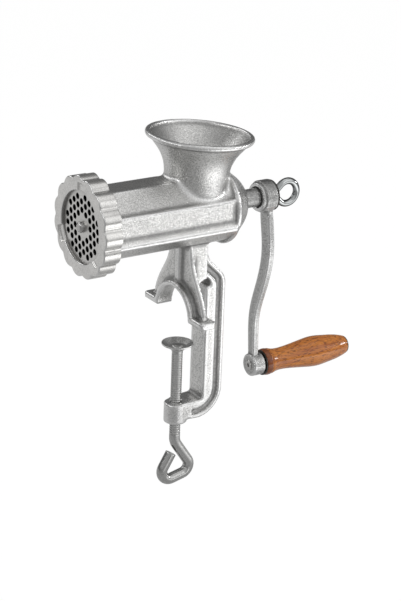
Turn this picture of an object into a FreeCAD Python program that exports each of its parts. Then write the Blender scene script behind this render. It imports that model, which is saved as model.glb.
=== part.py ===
import FreeCAD, Part
import math
import os

from FreeCAD import Placement, Rotation, Vector

# A table-clamped hand meat grinder, in millimetres.
# Origin: on the clamp screw's axis, in the plane of the two jaw feet that rest on the table top.
# +X is the grinder's side, +Y points from the mouth to the crank, +Z is up.

# Barrel and mouth
axis_height = 85.5
nut_front = -91.3
nut_length = 14.9
lip_thickness = 2.7
lip_reach = 2.5
plate_radius = 31.0
plate_thickness = 5.0
plate_proud = 1.0
plate_clearance = 0.1
seat_ledge = 1.7
collar_wall = 3.1
thread_clearance = 0.05
shoulder_length = 3.0
shoulder_drop = 4.0
screw_clearance = 0.6
rear_wall_front = 29.2
rear_disc_front = 31.8
rear_disc_back = 36.3
boss_back = 53.0
boss_end_radius = 13.2
boss_waist_radius = 20.4

# Walls of the faceted barrel about the screw's bore, and heights about its axis
top_wall = 3.5
facet_wall = 3.26
corner_wall = 1.7
panel_wall = 5.2
ledge_wall = 8.0
keel_wall = 3.7
panel_top = 12.0
panel_bottom = -5.6
ledge_top = -10.3
ledge_bottom = -12.5
belly_inset = 4.5
belly_rise = 4.3
keel_half = 10.0
facet_rounding = 0.8

# Ring nut outline: broad round lugs with narrower hollows between them
nut_wall = 4.8
nut_lugs = 15
lug_height = 1.15
lug_radius = 10.0
nut_chamfer = 0.8
pocket_count = 3
pocket_width = 12.5
pocket_reach = 6.0
pocket_depth = 1.4
pocket_turn = 85.0

# Hole plate
hole_radius = 2.4
hole_pitch = 6.55
hole_rings = 4
plate_turn = -6.4
key_radius = 1.5
key_reach = 2.2
key_sink = 2.0
key_slot_clearance = 0.2

# Knife and stud
stud_radius = 4.3
stud_proud = 3.9
stud_square_step = 0.3
stud_shank_length = 18.0
bearing_clearance = 0.06
square_clearance = 0.1
knife_gap = 0.2
knife_tip_gap = 1.1
knife_back_gap = 0.6
knife_hub_radius = 9.5
knife_hub_length = 10.6
knife_blade_thickness = 5.0
knife_blade_count = 4
knife_blade_root = 7.0
knife_blade_tip = 4.6

# Feed screw
screw_outer_radius = 22.9
screw_front_gap = 0.3
core_radius = 11.0
flight_pitch = 31.0
flight_root_width = 6.0
flight_tip_width = 3.4
flight_end_inset = 2.0
thrust_flange_radius = 14.0
thrust_flange_length = 4.0
thrust_washer_thickness = 2.0
thrust_gap = 0.2
journal_radius = 7.5
bush_wall = 2.0
bush_lip = 2.0
shaft_square = 9.8
counterbore_depth = 2.2
counterbore_gap = 1.0
shaft_end_gap = 1.0

# Hopper
hopper_station = 12.2
hopper_tilt = 4.0
hopper_wall = 3.2
rim_radius = 40.5
rim_bead_radius = 2.3
rim_height = 58.6
neck_height = 24.0

# Leg, jaw feet and arch
web_front = -0.5
web_thickness = 3.6
web_half_top = 15.5
web_half_foot = 36.5
arch_radius = 22.5
arch_flange = 4.2
foot_front = -6.5
foot_back = 8.0
foot_side = 43.0
foot_thickness = 5.3
foot_rounding = 3.0
rib_width = 7.0
rib_height = 2.8
rib_low = 24.0

# Clamp post, lower arm and boss
post_width = 21.0
post_front = 19.3
post_back = 36.9
stem_front = 3.0
stem_back = 19.3
bend_high = 45.5
bend_low = 28.5
bend_rounding = 15.0
jaw_opening = 76.5
arm_height = 14.5
heel_radius = 24.0
window_height = 21.8
window_radius = 8.4
window_station = 15.2
upper_back = 15.8
channel_rim = 3.2
channel_width = 5.0
channel_depth = 3.0
clamp_boss_wall = 5.0
arm_end_inset = 0.1
clamp_boss_top = -77.2
clamp_boss_bottom = -94.4

# Clamp screw and pad
rod_radius = 4.5
rod_clearance = 0.06
pad_radius = 12.9
pad_top = -25.8
pad_thickness = 1.6
pad_dish = 3.2
pad_hub_radius = 6.0
pad_height = 5.8
pad_pin_radius = 3.0
pad_head_radius = 4.8
pad_head_height = 1.6
pad_play = 0.15
rod_bend = -112.5
loop_right = (19.0, -140.5)
loop_left = (-19.0, -149.0)
loop_end = (-3.0, -122.2)
loop_turn_radius = 7.5
neck_turn_radius = 13.0

# Crank
crank_length = 150.0
crank_rest_turn = 3.5
hub_back = 83.25
hub_length = 13.55
hub_radius = 13.1
hub_collar_radius = 11.8
hub_collar_length = 2.3
hub_chamfer = 0.8
arm_thickness = 5.3
arm_width_top = 13.5
arm_width_bottom = 8.4
arm_swing_out = 7.0
arm_swing_back = -3.9
arm_edge_rounding = 1.3
grip_boss_radius = 9.5
grip_boss_front = 76.8
grip_boss_length = 11.3
hub_washer_radius = 12.4
hub_washer_thickness = 1.2

# Eye screw
eye_screw_radius = 3.0
eye_wire_radius = 2.8
eye_screw_depth = 14.0
eye_collar_radius = 4.8
eye_collar_length = 1.6
eye_ring_radius = 9.4
eye_ring_reach = 16.2

# Grip
axle_radius = 3.0
axle_clearance = 0.08
axle_end_radius = 4.2
axle_end_proud = 0.8
axle_end_hole_radius = 1.6
grip_washer_radius = 10.6
grip_washer_thickness = 1.0
grip_side_play = 0.15
grip_length = 85.0
grip_flange_radius = 11.1
grip_neck_radius = 9.2
grip_belly_radius = 12.8
grip_tip_radius = 7.3
cap_radius = 6.0
cap_thickness = 1.6
cap_head_radius = 4.4
cap_head_height = 1.8

# Stations and radii that follow from the sizes above
mouth_radius = plate_radius - lip_reach
plate_front = nut_front + lip_thickness
plate_back = plate_front + plate_thickness
collar_front = plate_front + plate_proud
plate_seat_radius = plate_radius + plate_clearance
collar_radius = plate_seat_radius + collar_wall
chamber_radius = plate_radius - seat_ledge
chamber_back = plate_back + knife_gap + knife_blade_thickness + knife_back_gap
nut_mean_radius = collar_radius + thread_clearance + nut_wall
pocket_outer = mouth_radius + pocket_reach
nut_back = nut_front + nut_length
barrel_front = nut_back + 0.2
screw_bore_radius = screw_outer_radius + screw_clearance
facet_top = screw_bore_radius + top_wall
facet_reach = (screw_bore_radius + facet_wall) * math.sqrt(2)
facet_corner = screw_bore_radius + corner_wall
panel_side = screw_bore_radius + panel_wall
ledge_side = screw_bore_radius + ledge_wall
keel_height = -screw_bore_radius - keel_wall
neck_radius = facet_corner
knife_front = plate_back + knife_gap
knife_radius = chamber_radius - knife_tip_gap
stud_square = 2 * (stud_radius + stud_square_step)
stud_shank_radius = stud_radius - stud_square_step
screw_front = knife_front + knife_hub_length + screw_front_gap
screw_back = rear_wall_front - thrust_washer_thickness - thrust_gap
bush_radius = journal_radius + bearing_clearance + bush_wall
bush_back = boss_back - bush_lip
counterbore_radius = journal_radius + counterbore_gap
clamp_boss_radius = rod_radius + clamp_boss_wall
hub_front = hub_back - hub_length
arm_front = hub_back - arm_thickness
washer_back = hub_back + hub_washer_thickness
square_front = hub_front + counterbore_depth - 0.2
shaft_end = hub_back - shaft_end_gap
grip_boss_back = grip_boss_front + grip_boss_length
grip_front = grip_boss_back + grip_washer_thickness + grip_side_play
grip_back = grip_front + grip_length
arm_top = -jaw_opening
arm_bottom = -jaw_opening - arm_height
pad_bottom = pad_top - pad_height
pad_floor = pad_top - pad_dish


def on_axis(side, station, height):
    """A point given about the barrel axis."""
    return Vector(side, station, axis_height + height)


def round_bar(radius, start, end, side=0.0, height=0.0):
    """A cylinder along the barrel, from one station to another."""
    return Part.makeCylinder(radius, end - start, on_axis(side, start, height), Vector(0, 1, 0))


def upright_bar(radius, low, high):
    """A cylinder on the clamp screw's axis."""
    return Part.makeCylinder(radius, high - low, Vector(0, 0, low), Vector(0, 0, 1))


def block(low, high):
    """A box between two opposite corners."""
    size = Vector(*high) - Vector(*low)
    return Part.makeBox(size.x, size.y, size.z, Vector(*low))


def turned(profile):
    """A solid turned about the barrel axis from (radius, station) corners."""
    points = [on_axis(0, station, radius) for radius, station in profile]
    face = Part.Face(Part.makePolygon(points + points[:1]))
    return face.revolve(on_axis(0, 0, 0), Vector(0, 1, 0), 360)


def turned_upright(profile):
    """A solid turned about the clamp screw's axis from (radius, height) corners."""
    points = [Vector(radius, 0, height) for radius, height in profile]
    face = Part.Face(Part.makePolygon(points + points[:1]))
    return face.revolve(Vector(0, 0, 0), Vector(0, 0, 1), 360)


def corner_arc(before, corner, after, radius):
    """Start, middle and end of the arc that rounds a corner."""
    back = (before - corner).normalize()
    ahead = (after - corner).normalize()
    half = back.getAngle(ahead) / 2
    inward = (back + ahead).normalize()
    reach = radius / math.tan(half)
    middle = corner + inward * (radius / math.sin(half) - radius)
    return [corner + back * reach, middle, corner + ahead * reach]


def rounded_wire(corners, radii, closed=True):
    """Straight runs through the corners, joined by tangent arcs; a radius of 0 keeps a corner."""
    count = len(corners)
    stops = []
    for i, (corner, radius) in enumerate(zip(corners, radii)):
        if radius:
            stops.append(corner_arc(corners[i - 1], corner, corners[(i + 1) % count], radius))
        else:
            stops.append([corner])
    edges = []
    for i, stop in enumerate(stops):
        if len(stop) == 3:
            edges.append(Part.Arc(*stop).toShape())
        if closed or i < count - 1:
            edges.append(Part.makeLine(stop[-1], stops[(i + 1) % count][0]))
    return Part.Wire(edges)


def front_slab(outline, radii, start, end):
    """A slab whose outline is seen from the mouth: (side, height) corners, from start to end."""
    corners = [Vector(x, start, z) for x, z in outline]
    return Part.Face(rounded_wire(corners, radii)).extrude(Vector(0, end - start, 0))


def side_slab(outline, radii, half_width):
    """A slab whose outline is seen from the side: (station, height) corners, across the middle."""
    corners = [Vector(-half_width, y, z) for y, z in outline]
    return Part.Face(rounded_wire(corners, radii)).extrude(Vector(2 * half_width, 0, 0))


def spline(points):
    """A smooth edge through the points."""
    curve = Part.BSplineCurve()
    curve.interpolate(points)
    return curve.toShape()


def mirrored(shape):
    """The shape reflected to the other side of the grinder."""
    return shape.mirror(Vector(0, 0, 0), Vector(1, 0, 0))


def turn_about_axis(shape, degrees):
    """The shape turned about the barrel axis."""
    copy = shape.copy()
    copy.rotate(on_axis(0, 0, 0), Vector(0, 1, 0), degrees)
    return copy


def export(name, shape):
    """Write one piece, after making sure that it is one sound solid."""
    solid = shape.Solids[0] if len(shape.Solids) == 1 else shape
    if len(shape.Solids) != 1 or not solid.isValid():
        print("check", name, len(shape.Solids), solid.isValid())
    solid.exportStep(os.path.join("parts", name + ".step"))


def barrel_body():
    """The faceted tube between the shoulder behind the nut and the rear disc."""
    right = [
        (facet_reach - facet_top, facet_top),
        (facet_corner, facet_reach - facet_corner),
        (panel_side, panel_top),
        (panel_side, panel_bottom),
        (ledge_side, ledge_top),
        (ledge_side, ledge_bottom),
        (screw_bore_radius - belly_inset, keel_height + belly_rise),
        (keel_half, keel_height),
    ]
    left = [(-x, z) for x, z in reversed(right)]
    outline = [(x, z + axis_height) for x, z in right + left]
    radii = [facet_rounding] * len(outline)
    return front_slab(outline, radii, barrel_front, rear_disc_front + 1)


def mouth_collar():
    """The round collar that carries the nut's thread, with its bevelled shoulder."""
    return turned([
        (0, collar_front),
        (collar_radius - 0.8, collar_front),
        (collar_radius, collar_front + 0.8),
        (collar_radius, barrel_front - shoulder_length),
        (collar_radius - shoulder_drop, barrel_front),
        (0, barrel_front),
    ])


def rear_end():
    """The rear disc, the bell-shaped boss behind it and its end face."""
    disc_chamfer = 1.2
    rim = [
        on_axis(0, rear_disc_front, 0),
        on_axis(0, rear_disc_front, ledge_side - disc_chamfer),
        on_axis(0, rear_disc_front + disc_chamfer, ledge_side),
        on_axis(0, rear_disc_back - disc_chamfer, ledge_side),
        on_axis(0, rear_disc_back, ledge_side - disc_chamfer),
    ]
    bell_length = boss_back - rear_disc_back
    bell = spline([
        rim[-1],
        on_axis(0, rear_disc_back + 0.3 * bell_length, boss_waist_radius + 5.5),
        on_axis(0, rear_disc_back + 0.7 * bell_length, boss_waist_radius),
        on_axis(0, boss_back, boss_end_radius),
    ])
    edges = [Part.makeLine(a, b) for a, b in zip(rim, rim[1:])]
    close = [on_axis(0, boss_back, boss_end_radius), on_axis(0, boss_back, 0), rim[0]]
    edges += [bell] + [Part.makeLine(a, b) for a, b in zip(close, close[1:])]
    return Part.Face(Part.Wire(edges)).revolve(on_axis(0, 0, 0), Vector(0, 1, 0), 360)


def hopper_curve(inset, low):
    """Points up the hopper's wall, inset from its outer face, as (radius, height) pairs."""
    rise = rim_height - neck_height
    flare = rim_radius - neck_radius
    shape = [(0.0, 0.0), (0.16, 0.02), (0.34, 0.09), (0.52, 0.25), (0.69, 0.49), (0.83, 0.75), (1.0, 1.0)]
    bell = [(neck_radius + flare * out - inset, neck_height + rise * up) for up, out in shape]
    return [(neck_radius - inset, low)] + bell


def hopper_solid(curve, top):
    """A solid turned about the hopper's own axis, tilted and set on the barrel."""
    wall = spline([Vector(radius, 0, height) for radius, height in curve[1:]])
    foot, start, end = Vector(curve[0][0], 0, curve[0][1]), curve[1], curve[-1]
    edges = [Part.makeLine(foot, Vector(start[0], 0, start[1])), wall]
    close = [Vector(end[0], 0, end[1]), Vector(end[0], 0, top), Vector(0, 0, top), Vector(0, 0, foot.z), foot]
    edges += [Part.makeLine(a, b) for a, b in zip(close, close[1:]) if a.distanceToPoint(b) > 1e-6]
    solid = Part.Face(Part.Wire(edges)).revolve(Vector(0, 0, 0), Vector(0, 0, 1), 360)
    return place_hopper(solid)


def place_hopper(shape):
    """Tilt a shape about the neck and stand it at the hopper's station."""
    pivot = Vector(0, 0, facet_top)
    tilt = Placement(on_axis(0, hopper_station, 0), Rotation(Vector(1, 0, 0), -hopper_tilt), pivot)
    shape.Placement = tilt
    return shape


def hopper_outside():
    """The hopper as a full body, with the round bead of its rim."""
    body = hopper_solid(hopper_curve(0, 0), rim_height)
    bead = place_hopper(Part.makeTorus(rim_radius, rim_bead_radius, Vector(0, 0, rim_height)))
    return body.fuse(bead)


def hopper_inside():
    """The space inside the hopper, down to the screw's bore."""
    inner = hopper_curve(hopper_wall, 0)
    inner[-1] = (rim_radius - 0.6 * rim_bead_radius, rim_height)
    mouth = place_hopper(Part.makeCylinder(inner[-1][0], 8, Vector(0, 0, rim_height)))
    return hopper_solid(inner, rim_height).fuse(mouth)


def leg_web():
    """The flared front plate of the leg."""
    high = axis_height + keel_height + 5
    rise = high - foot_thickness
    spread = web_half_foot - web_half_top
    flare = [(1.0, 0.0), (0.8, 0.02), (0.67, 0.1), (0.51, 0.33), (0.35, 0.62), (0.17, 0.88), (0.0, 1.0)]
    right = [Vector(web_half_top + spread * out, web_front, foot_thickness + rise * up) for up, out in flare]
    left = [Vector(-p.x, p.y, p.z) for p in reversed(right)]
    foot = [right[-1], Vector(web_half_foot, web_front, 0), Vector(-web_half_foot, web_front, 0), left[0]]
    edges = [spline(right)] + [Part.makeLine(a, b) for a, b in zip(foot, foot[1:])]
    edges += [spline(left), Part.makeLine(left[-1], right[0])]
    return Part.Face(Part.Wire(edges)).extrude(Vector(0, web_thickness, 0))


def leg_rib():
    """The rib down the middle of the leg's front, from the barrel to the arch."""
    half = rib_width / 2
    face = web_front - rib_height
    outline = [(half, web_front), (half, face), (-half, face), (-half, web_front)]
    corners = [Vector(x, y, rib_low) for x, y in outline]
    section = Part.Face(rounded_wire(corners, [0, 1.2, 1.2, 0]))
    return section.extrude(Vector(0, 0, axis_height + keel_height + 2 - rib_low))


def jaw_feet():
    """The arched flange and the two flat feet that rest on the table top."""
    flange_radius = arch_radius + arch_flange
    centre = Vector(0, foot_front, 0)
    depth = foot_back - foot_front
    arch = Part.makeCylinder(flange_radius, depth, centre, Vector(0, 1, 0))
    arch = arch.cut(block((-foot_side, foot_front - 1, -foot_side), (foot_side, foot_back + 1, 0)))
    front = [(-foot_side, foot_front), (foot_side, foot_front)]
    back = [(foot_side, foot_back), (-foot_side, foot_back)]
    corners = [Vector(x, y, 0) for x, y in front + back]
    feet = Part.Face(rounded_wire(corners, [foot_rounding] * 4)).extrude(Vector(0, 0, foot_thickness))
    return arch.fuse(feet)


def arch_tunnel():
    """The opening under the arch, through the feet and the leg's plate."""
    start = foot_front - 1
    length = foot_back + 2 - start
    return Part.makeCylinder(arch_radius, length, Vector(0, start, 0), Vector(0, 1, 0))


def post_line(inset, trim=0.0):
    """Corners and radii of the post's back line, moved in towards the jaw by an inset."""
    slope = math.atan2(post_back - stem_back, bend_high - bend_low)
    shift = inset * math.tan(slope / 2)
    top = axis_height + keel_height + 5
    corners = [
        (stem_back - inset, top),
        (stem_back - inset, bend_high - shift),
        (post_back - inset, bend_low - shift),
        (post_back - inset, arm_bottom + inset),
        (trim, arm_bottom + inset),
    ]
    radii = [0, bend_rounding + inset, bend_rounding - inset, heel_radius - inset, 0]
    return corners, radii


def stem():
    """The leg's rear part, the clamp post and the lower arm, in one side outline."""
    back, back_radii = post_line(0)
    top = back[0][1]
    front = [
        (0, arm_top),
        (post_front, arm_top + 1),
        (post_front, window_height),
        (stem_front, window_height),
        (stem_front, top),
    ]
    body = side_slab(back + front, back_radii + [0, 0, 0, 0, 0], post_width / 2)
    return body.common(arm_taper())


def arm_taper():
    """Plan of the post and of the arm that narrows towards the clamp boss."""
    half = post_width / 2
    end_half = clamp_boss_radius - arm_end_inset
    outline = [(half, post_back + 1), (half, post_front - 4), (end_half, 2), (end_half, -1)]
    outline += [(-x, y) for x, y in reversed(outline)]
    corners = [Vector(x, y, arm_bottom - 1) for x, y in outline]
    low = Part.Face(Part.makePolygon(corners + corners[:1])).extrude(Vector(0, 0, arm_height + 4))
    high = block((-half, -1, arm_top + 2), (half, post_back + 1, axis_height))
    return low.fuse(high)


def side_channel():
    """The hollow along the post's side, between its front and its back rim."""
    outer, outer_radii = post_line(channel_rim, clamp_boss_radius)
    inner, inner_radii = post_line(channel_rim + channel_width, clamp_boss_radius)
    corners = outer + inner[::-1]
    radii = outer_radii + inner_radii[::-1]
    points = [Vector(post_width / 2 - channel_depth, y, z) for y, z in corners]
    return Part.Face(rounded_wire(points, radii)).extrude(Vector(channel_depth + 1, 0, 0))


def leg():
    """Everything below the barrel: leg, feet, post, arm and clamp boss."""
    upper = side_slab(
        [(web_front, window_height), (upper_back, window_height),
         (upper_back, axis_height + keel_height + 5), (web_front, axis_height + keel_height + 5)],
        [0] * 4, web_half_top)
    body = leg_web().fuse([leg_rib(), jaw_feet(), stem(), upper])
    window = Part.makeCylinder(window_radius, 2 * web_half_foot,
                               Vector(-web_half_foot, window_station, window_height), Vector(1, 0, 0))
    window = window.common(block((-web_half_foot, web_front + web_thickness, window_height),
                                 (web_half_foot, post_back, axis_height)))
    channel = side_channel()
    body = body.cut([arch_tunnel(), window, channel, mirrored(channel)])
    boss = upright_bar(clamp_boss_radius, clamp_boss_bottom, clamp_boss_top)
    boss = boss.makeChamfer(0.8, [e for e in boss.Edges if e.Curve.TypeId == "Part::GeomCircle"])
    return body.fuse(boss).cut(upright_bar(rod_radius + rod_clearance, arm_bottom - 9, arm_top + 9))


def grinder_casting():
    """The whole casting, bored for the plate, the knife, the screw and the bush."""
    body = barrel_body().fuse([mouth_collar(), rear_end(), hopper_outside(), leg()])
    bores = [
        round_bar(plate_seat_radius, collar_front - 1, plate_back),
        round_bar(chamber_radius, plate_back - 1, chamber_back),
        round_bar(screw_bore_radius, chamber_back - 1, rear_wall_front),
        round_bar(bush_radius, rear_wall_front - 1, bush_back),
        round_bar(journal_radius + 0.5, bush_back - 1, boss_back + 1),
        hopper_inside(),
        plate_key_bar(),
    ]
    return body.cut(bores).removeSplitter()


def plate_key_bar():
    """The peg that stands in from the plate's seat, at the bottom."""
    middle = plate_front + plate_thickness / 2 + plate_proud / 2
    low = -plate_seat_radius - key_sink
    return Part.makeCylinder(key_radius, key_sink + key_reach, on_axis(0, middle, low), Vector(0, 0, 1))


def rear_bush():
    """The sleeve that carries the screw's shaft."""
    outer = round_bar(bush_radius, rear_wall_front, bush_back)
    return outer.cut(round_bar(journal_radius + bearing_clearance, rear_wall_front - 1, bush_back + 1))


def thrust_washer():
    """The washer behind the feed screw."""
    start = rear_wall_front - thrust_washer_thickness
    ring = round_bar(thrust_flange_radius, start, rear_wall_front)
    return ring.cut(round_bar(journal_radius + 0.3, start - 1, rear_wall_front + 1))


def nut_outline():
    """The nut's outline: round lugs joined by tangent hollows."""
    half_step = math.pi / nut_lugs
    crest = nut_mean_radius + lug_height
    floor = nut_mean_radius - lug_height
    lug_centre = crest - lug_radius
    inset = lug_centre * math.cos(half_step)
    gap = lug_centre**2 + floor**2 - 2 * floor * inset
    hollow_radius = (lug_radius**2 - gap) / (2 * (floor - inset - lug_radius))
    share = lug_radius / (lug_radius + hollow_radius)

    def at(radius, steps):
        angle = steps * half_step
        return on_axis(radius * math.cos(angle), nut_front, radius * math.sin(angle))

    def joint(lug, hollow):
        return at(lug_centre, lug) * (1 - share) + at(floor + hollow_radius, hollow) * share

    edges = []
    for lug in range(0, 2 * nut_lugs, 2):
        edges.append(Part.Arc(joint(lug, lug - 1), at(crest, lug), joint(lug, lug + 1)).toShape())
        edges.append(Part.Arc(joint(lug, lug + 1), at(floor, lug + 1), joint(lug + 2, lug + 1)).toShape())
    return Part.Wire(edges)


def ring_nut():
    """The scalloped nut: round lugs, a bore, a mouth and three shallow pockets for a spanner."""
    body = Part.Face(nut_outline()).extrude(Vector(0, nut_length, 0))
    crest = nut_mean_radius + lug_height
    body = body.common(turned([
        (0, nut_front),
        (crest - 2 * nut_chamfer, nut_front),
        (crest + 1, nut_front + 2.5 * nut_chamfer),
        (crest + 1, nut_back),
        (0, nut_back),
    ]))
    lip_chamfer = turned([
        (0, nut_front - 1),
        (mouth_radius + nut_chamfer + 1, nut_front - 1),
        (mouth_radius, nut_front + nut_chamfer),
        (0, nut_front + nut_chamfer),
    ])
    pocket = block((mouth_radius - 2, nut_front - 1, axis_height - pocket_width / 2),
                   (pocket_outer, nut_front + pocket_depth, axis_height + pocket_width / 2))
    pocket = pocket.common(round_bar(pocket_outer, nut_front - 1, nut_back))
    pockets = [turn_about_axis(pocket, -pocket_turn - 360 / pocket_count * i) for i in range(pocket_count)]
    bores = [
        round_bar(mouth_radius, nut_front - 1, plate_front + 1),
        round_bar(collar_radius + thread_clearance, plate_front, nut_back + 1),
        lip_chamfer,
    ]
    return body.cut(bores + pockets)


def hole_places():
    """Hole centres: a hexagonal pattern without its middle, the six round it and its corners."""
    places = []
    for i in range(-hole_rings, hole_rings + 1):
        for j in range(-hole_rings, hole_rings + 1):
            steps = math.sqrt(i * i + i * j + j * j)
            if 1 < steps < hole_rings:
                places.append((hole_pitch * j * math.sqrt(3) / 2, hole_pitch * (i + j / 2)))
    return places


def hole_plate():
    """The steel plate with its holes, the bore for the stud and the slot for the key."""
    plate = round_bar(plate_radius, plate_front, plate_back)
    holes = [round_bar(hole_radius, plate_front - 1, plate_back + 1, x, z) for x, z in hole_places()]
    holes = [turn_about_axis(hole, plate_turn) for hole in holes]
    holes.append(round_bar(stud_radius + bearing_clearance, plate_front - 1, plate_back + 1))
    half = key_radius + key_slot_clearance
    low = axis_height - plate_radius - 1
    holes.append(block((-half, plate_front - 1, low), (half, plate_back + 1, low + 1 + key_reach + 0.4)))
    return plate.cut(holes)


def knife_blade():
    """One blade, straight at its cutting edge and swept at its back."""
    outline = [(0, -knife_blade_root), (0, knife_blade_root * 0.6),
               (knife_radius - 3, knife_blade_tip), (knife_radius, -knife_blade_tip)]
    outline = [(x, z + axis_height) for x, z in outline]
    blade = front_slab(outline, [0, 0, 2.5, 1.0], knife_front, knife_front + knife_blade_thickness)
    return blade.common(round_bar(knife_radius, knife_front, knife_front + knife_blade_thickness))


def cross_knife():
    """The four-bladed knife with the square hole of its hub."""
    hub = round_bar(knife_hub_radius, knife_front, knife_front + knife_hub_length)
    step = 360 / knife_blade_count
    blades = [turn_about_axis(knife_blade(), step * i + step / 3) for i in range(knife_blade_count)]
    half = stud_square / 2 + square_clearance
    hole = block((-half, knife_front - 1, axis_height - half),
                 (half, knife_front + knife_hub_length + 1, axis_height + half))
    return hub.fuse(blades).cut(hole)


def knife_stud():
    """The stud: domed round end in the plate, square for the knife, shank in the feed screw."""
    tip = plate_front - stud_proud
    dome = 1.6
    end = turned([(0, tip), (stud_radius - dome, tip), (stud_radius - 0.4 * dome, tip + 0.4 * dome),
                  (stud_radius, tip + dome), (stud_radius, knife_front), (0, knife_front)])
    half = stud_square / 2
    square = block((-half, knife_front, axis_height - half), (half, screw_front, axis_height + half))
    shank = round_bar(stud_shank_radius, screw_front, screw_front + stud_shank_length)
    return end.fuse([square, shank])


def screw_flight():
    """The worm's flight, a tapered rib swept along a helix."""
    start = screw_front + flight_end_inset
    length = screw_back - thrust_flange_length - flight_end_inset - flight_root_width - start
    root = core_radius - 3
    helix = Part.makeHelix(flight_pitch, length, root)
    corners = [Vector(root, 0, -flight_root_width / 2), Vector(screw_outer_radius, 0, -flight_tip_width / 2),
               Vector(screw_outer_radius, 0, flight_tip_width / 2), Vector(root, 0, flight_root_width / 2)]
    profile = Part.makePolygon(corners + corners[:1])
    flight = Part.Wire(helix).makePipeShell([profile], True, True)
    flight.Placement = Placement(on_axis(0, start + flight_root_width / 2, 0), Rotation(Vector(1, 0, 0), -90))
    return flight


def feed_screw():
    """The cast worm with its thrust flange, journal, crank square and tapped hole."""
    core = turned([
        (0, screw_front),
        (core_radius, screw_front),
        (core_radius, screw_back - thrust_flange_length),
        (thrust_flange_radius, screw_back - thrust_flange_length),
        (thrust_flange_radius, screw_back),
        (journal_radius, screw_back),
        (journal_radius, square_front),
        (0, square_front),
    ])
    half = shaft_square / 2
    square = block((-half, square_front, axis_height - half), (half, shaft_end, axis_height + half))
    stud_hole = round_bar(stud_shank_radius, screw_front - 1, screw_front + stud_shank_length)
    eye_hole = round_bar(eye_screw_radius + thread_clearance, shaft_end - eye_screw_depth, shaft_end + 1)
    return core.fuse([screw_flight(), square]).cut([stud_hole, eye_hole])


def arm_blade():
    """The S-shaped bar of the crank, tapering from the hub to the grip's boss."""
    line = [(0, 0), (0.2 * arm_swing_out, 0.1), (arm_swing_out, 0.29), (0.3 * arm_swing_out, 0.53),
            (arm_swing_back, 0.71), (0.6 * arm_swing_back, 0.86), (0, 1)]
    centre = Part.BSplineCurve()
    centre.interpolate([on_axis(x, arm_front, -share * crank_length) for x, share in line])
    first, last = centre.FirstParameter, centre.LastParameter
    edges = {1: [], -1: []}
    stations = 12
    for i in range(stations + 1):
        share = i / stations
        here = first + (last - first) * share
        along = centre.tangent(here)[0]
        across = Vector(-along.z, 0, along.x)
        half = (arm_width_top + (arm_width_bottom - arm_width_top) * share) / 2
        for side, points in edges.items():
            points.append(centre.value(here) + across * (side * half))
    right, left = edges[1], edges[-1][::-1]
    wire = Part.Wire([spline(right), Part.makeLine(right[-1], left[0]),
                      spline(left), Part.makeLine(left[-1], right[0])])
    blade = Part.Face(wire).extrude(Vector(0, arm_thickness, 0))
    long_edges = [e for e in blade.Edges if e.Length > crank_length * 0.8]
    return blade.makeFillet(arm_edge_rounding, long_edges)


def crank_arm():
    """The crank: hub with square hole, S-shaped arm and the grip's boss."""
    hub = turned([
        (0, hub_front),
        (hub_collar_radius - hub_chamfer, hub_front),
        (hub_collar_radius, hub_front + hub_chamfer),
        (hub_collar_radius, hub_front + hub_collar_length),
        (hub_radius, hub_front + hub_collar_length + hub_chamfer),
        (hub_radius, hub_back - hub_chamfer),
        (hub_radius - hub_chamfer, hub_back),
        (0, hub_back),
    ])
    boss = round_bar(grip_boss_radius, grip_boss_front, grip_boss_back, 0, -crank_length)
    boss = boss.makeChamfer(hub_chamfer, [e for e in boss.Edges if e.Curve.TypeId == "Part::GeomCircle"])
    half = shaft_square / 2 + square_clearance
    cuts = [
        round_bar(counterbore_radius, hub_front - 1, hub_front + counterbore_depth),
        block((-half, hub_front, axis_height - half), (half, hub_back + 1, axis_height + half)),
        round_bar(axle_radius, grip_boss_front - 1, grip_boss_back + 1, 0, -crank_length),
    ]
    return hub.fuse([arm_blade(), boss]).cut(cuts)


def crank_washer():
    """The washer between the hub and the eye screw."""
    ring = round_bar(hub_washer_radius, hub_back, washer_back)
    return ring.cut(round_bar(eye_screw_radius + 0.1, hub_back - 1, washer_back + 1))


def eye_screw():
    """The crank's fixing screw: threaded shank, collar and a bent-wire eye."""
    ring_centre = washer_back + eye_collar_length + eye_ring_reach - eye_wire_radius
    neck = washer_back + eye_collar_length - 0.4
    reach = ring_centre - neck
    lean = math.asin(eye_ring_radius / reach)
    touch_y = ring_centre - eye_ring_radius * math.sin(lean)
    touch_z = eye_ring_radius * math.cos(lean)
    apex = on_axis(0, neck, 0)
    high, low = on_axis(0, touch_y, touch_z), on_axis(0, touch_y, -touch_z)
    far = on_axis(0, ring_centre + eye_ring_radius, 0)
    path = Part.Wire([Part.makeLine(apex, high), Part.Arc(high, far, low).toShape()])
    tangent = (high - apex).normalize()
    start = Part.Wire(Part.makeCircle(eye_wire_radius, apex, tangent))
    eye = path.makePipeShell([start], True, False)
    leg_direction = (apex - low).normalize()
    back_leg = Part.makeCylinder(eye_wire_radius, (apex - low).Length, low, leg_direction)
    back_leg = back_leg.cut(round_bar(eye_ring_radius * 2, neck - 20, neck + 0.4))
    collar = round_bar(eye_collar_radius, washer_back, washer_back + eye_collar_length + 0.8)
    shank = round_bar(eye_screw_radius, shaft_end - eye_screw_depth + 2, washer_back + 0.5)
    trimmed = eye.cut(round_bar(eye_ring_radius * 2, neck - 20, washer_back + 0.2))
    return collar.fuse([shank, trimmed, back_leg])


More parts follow.
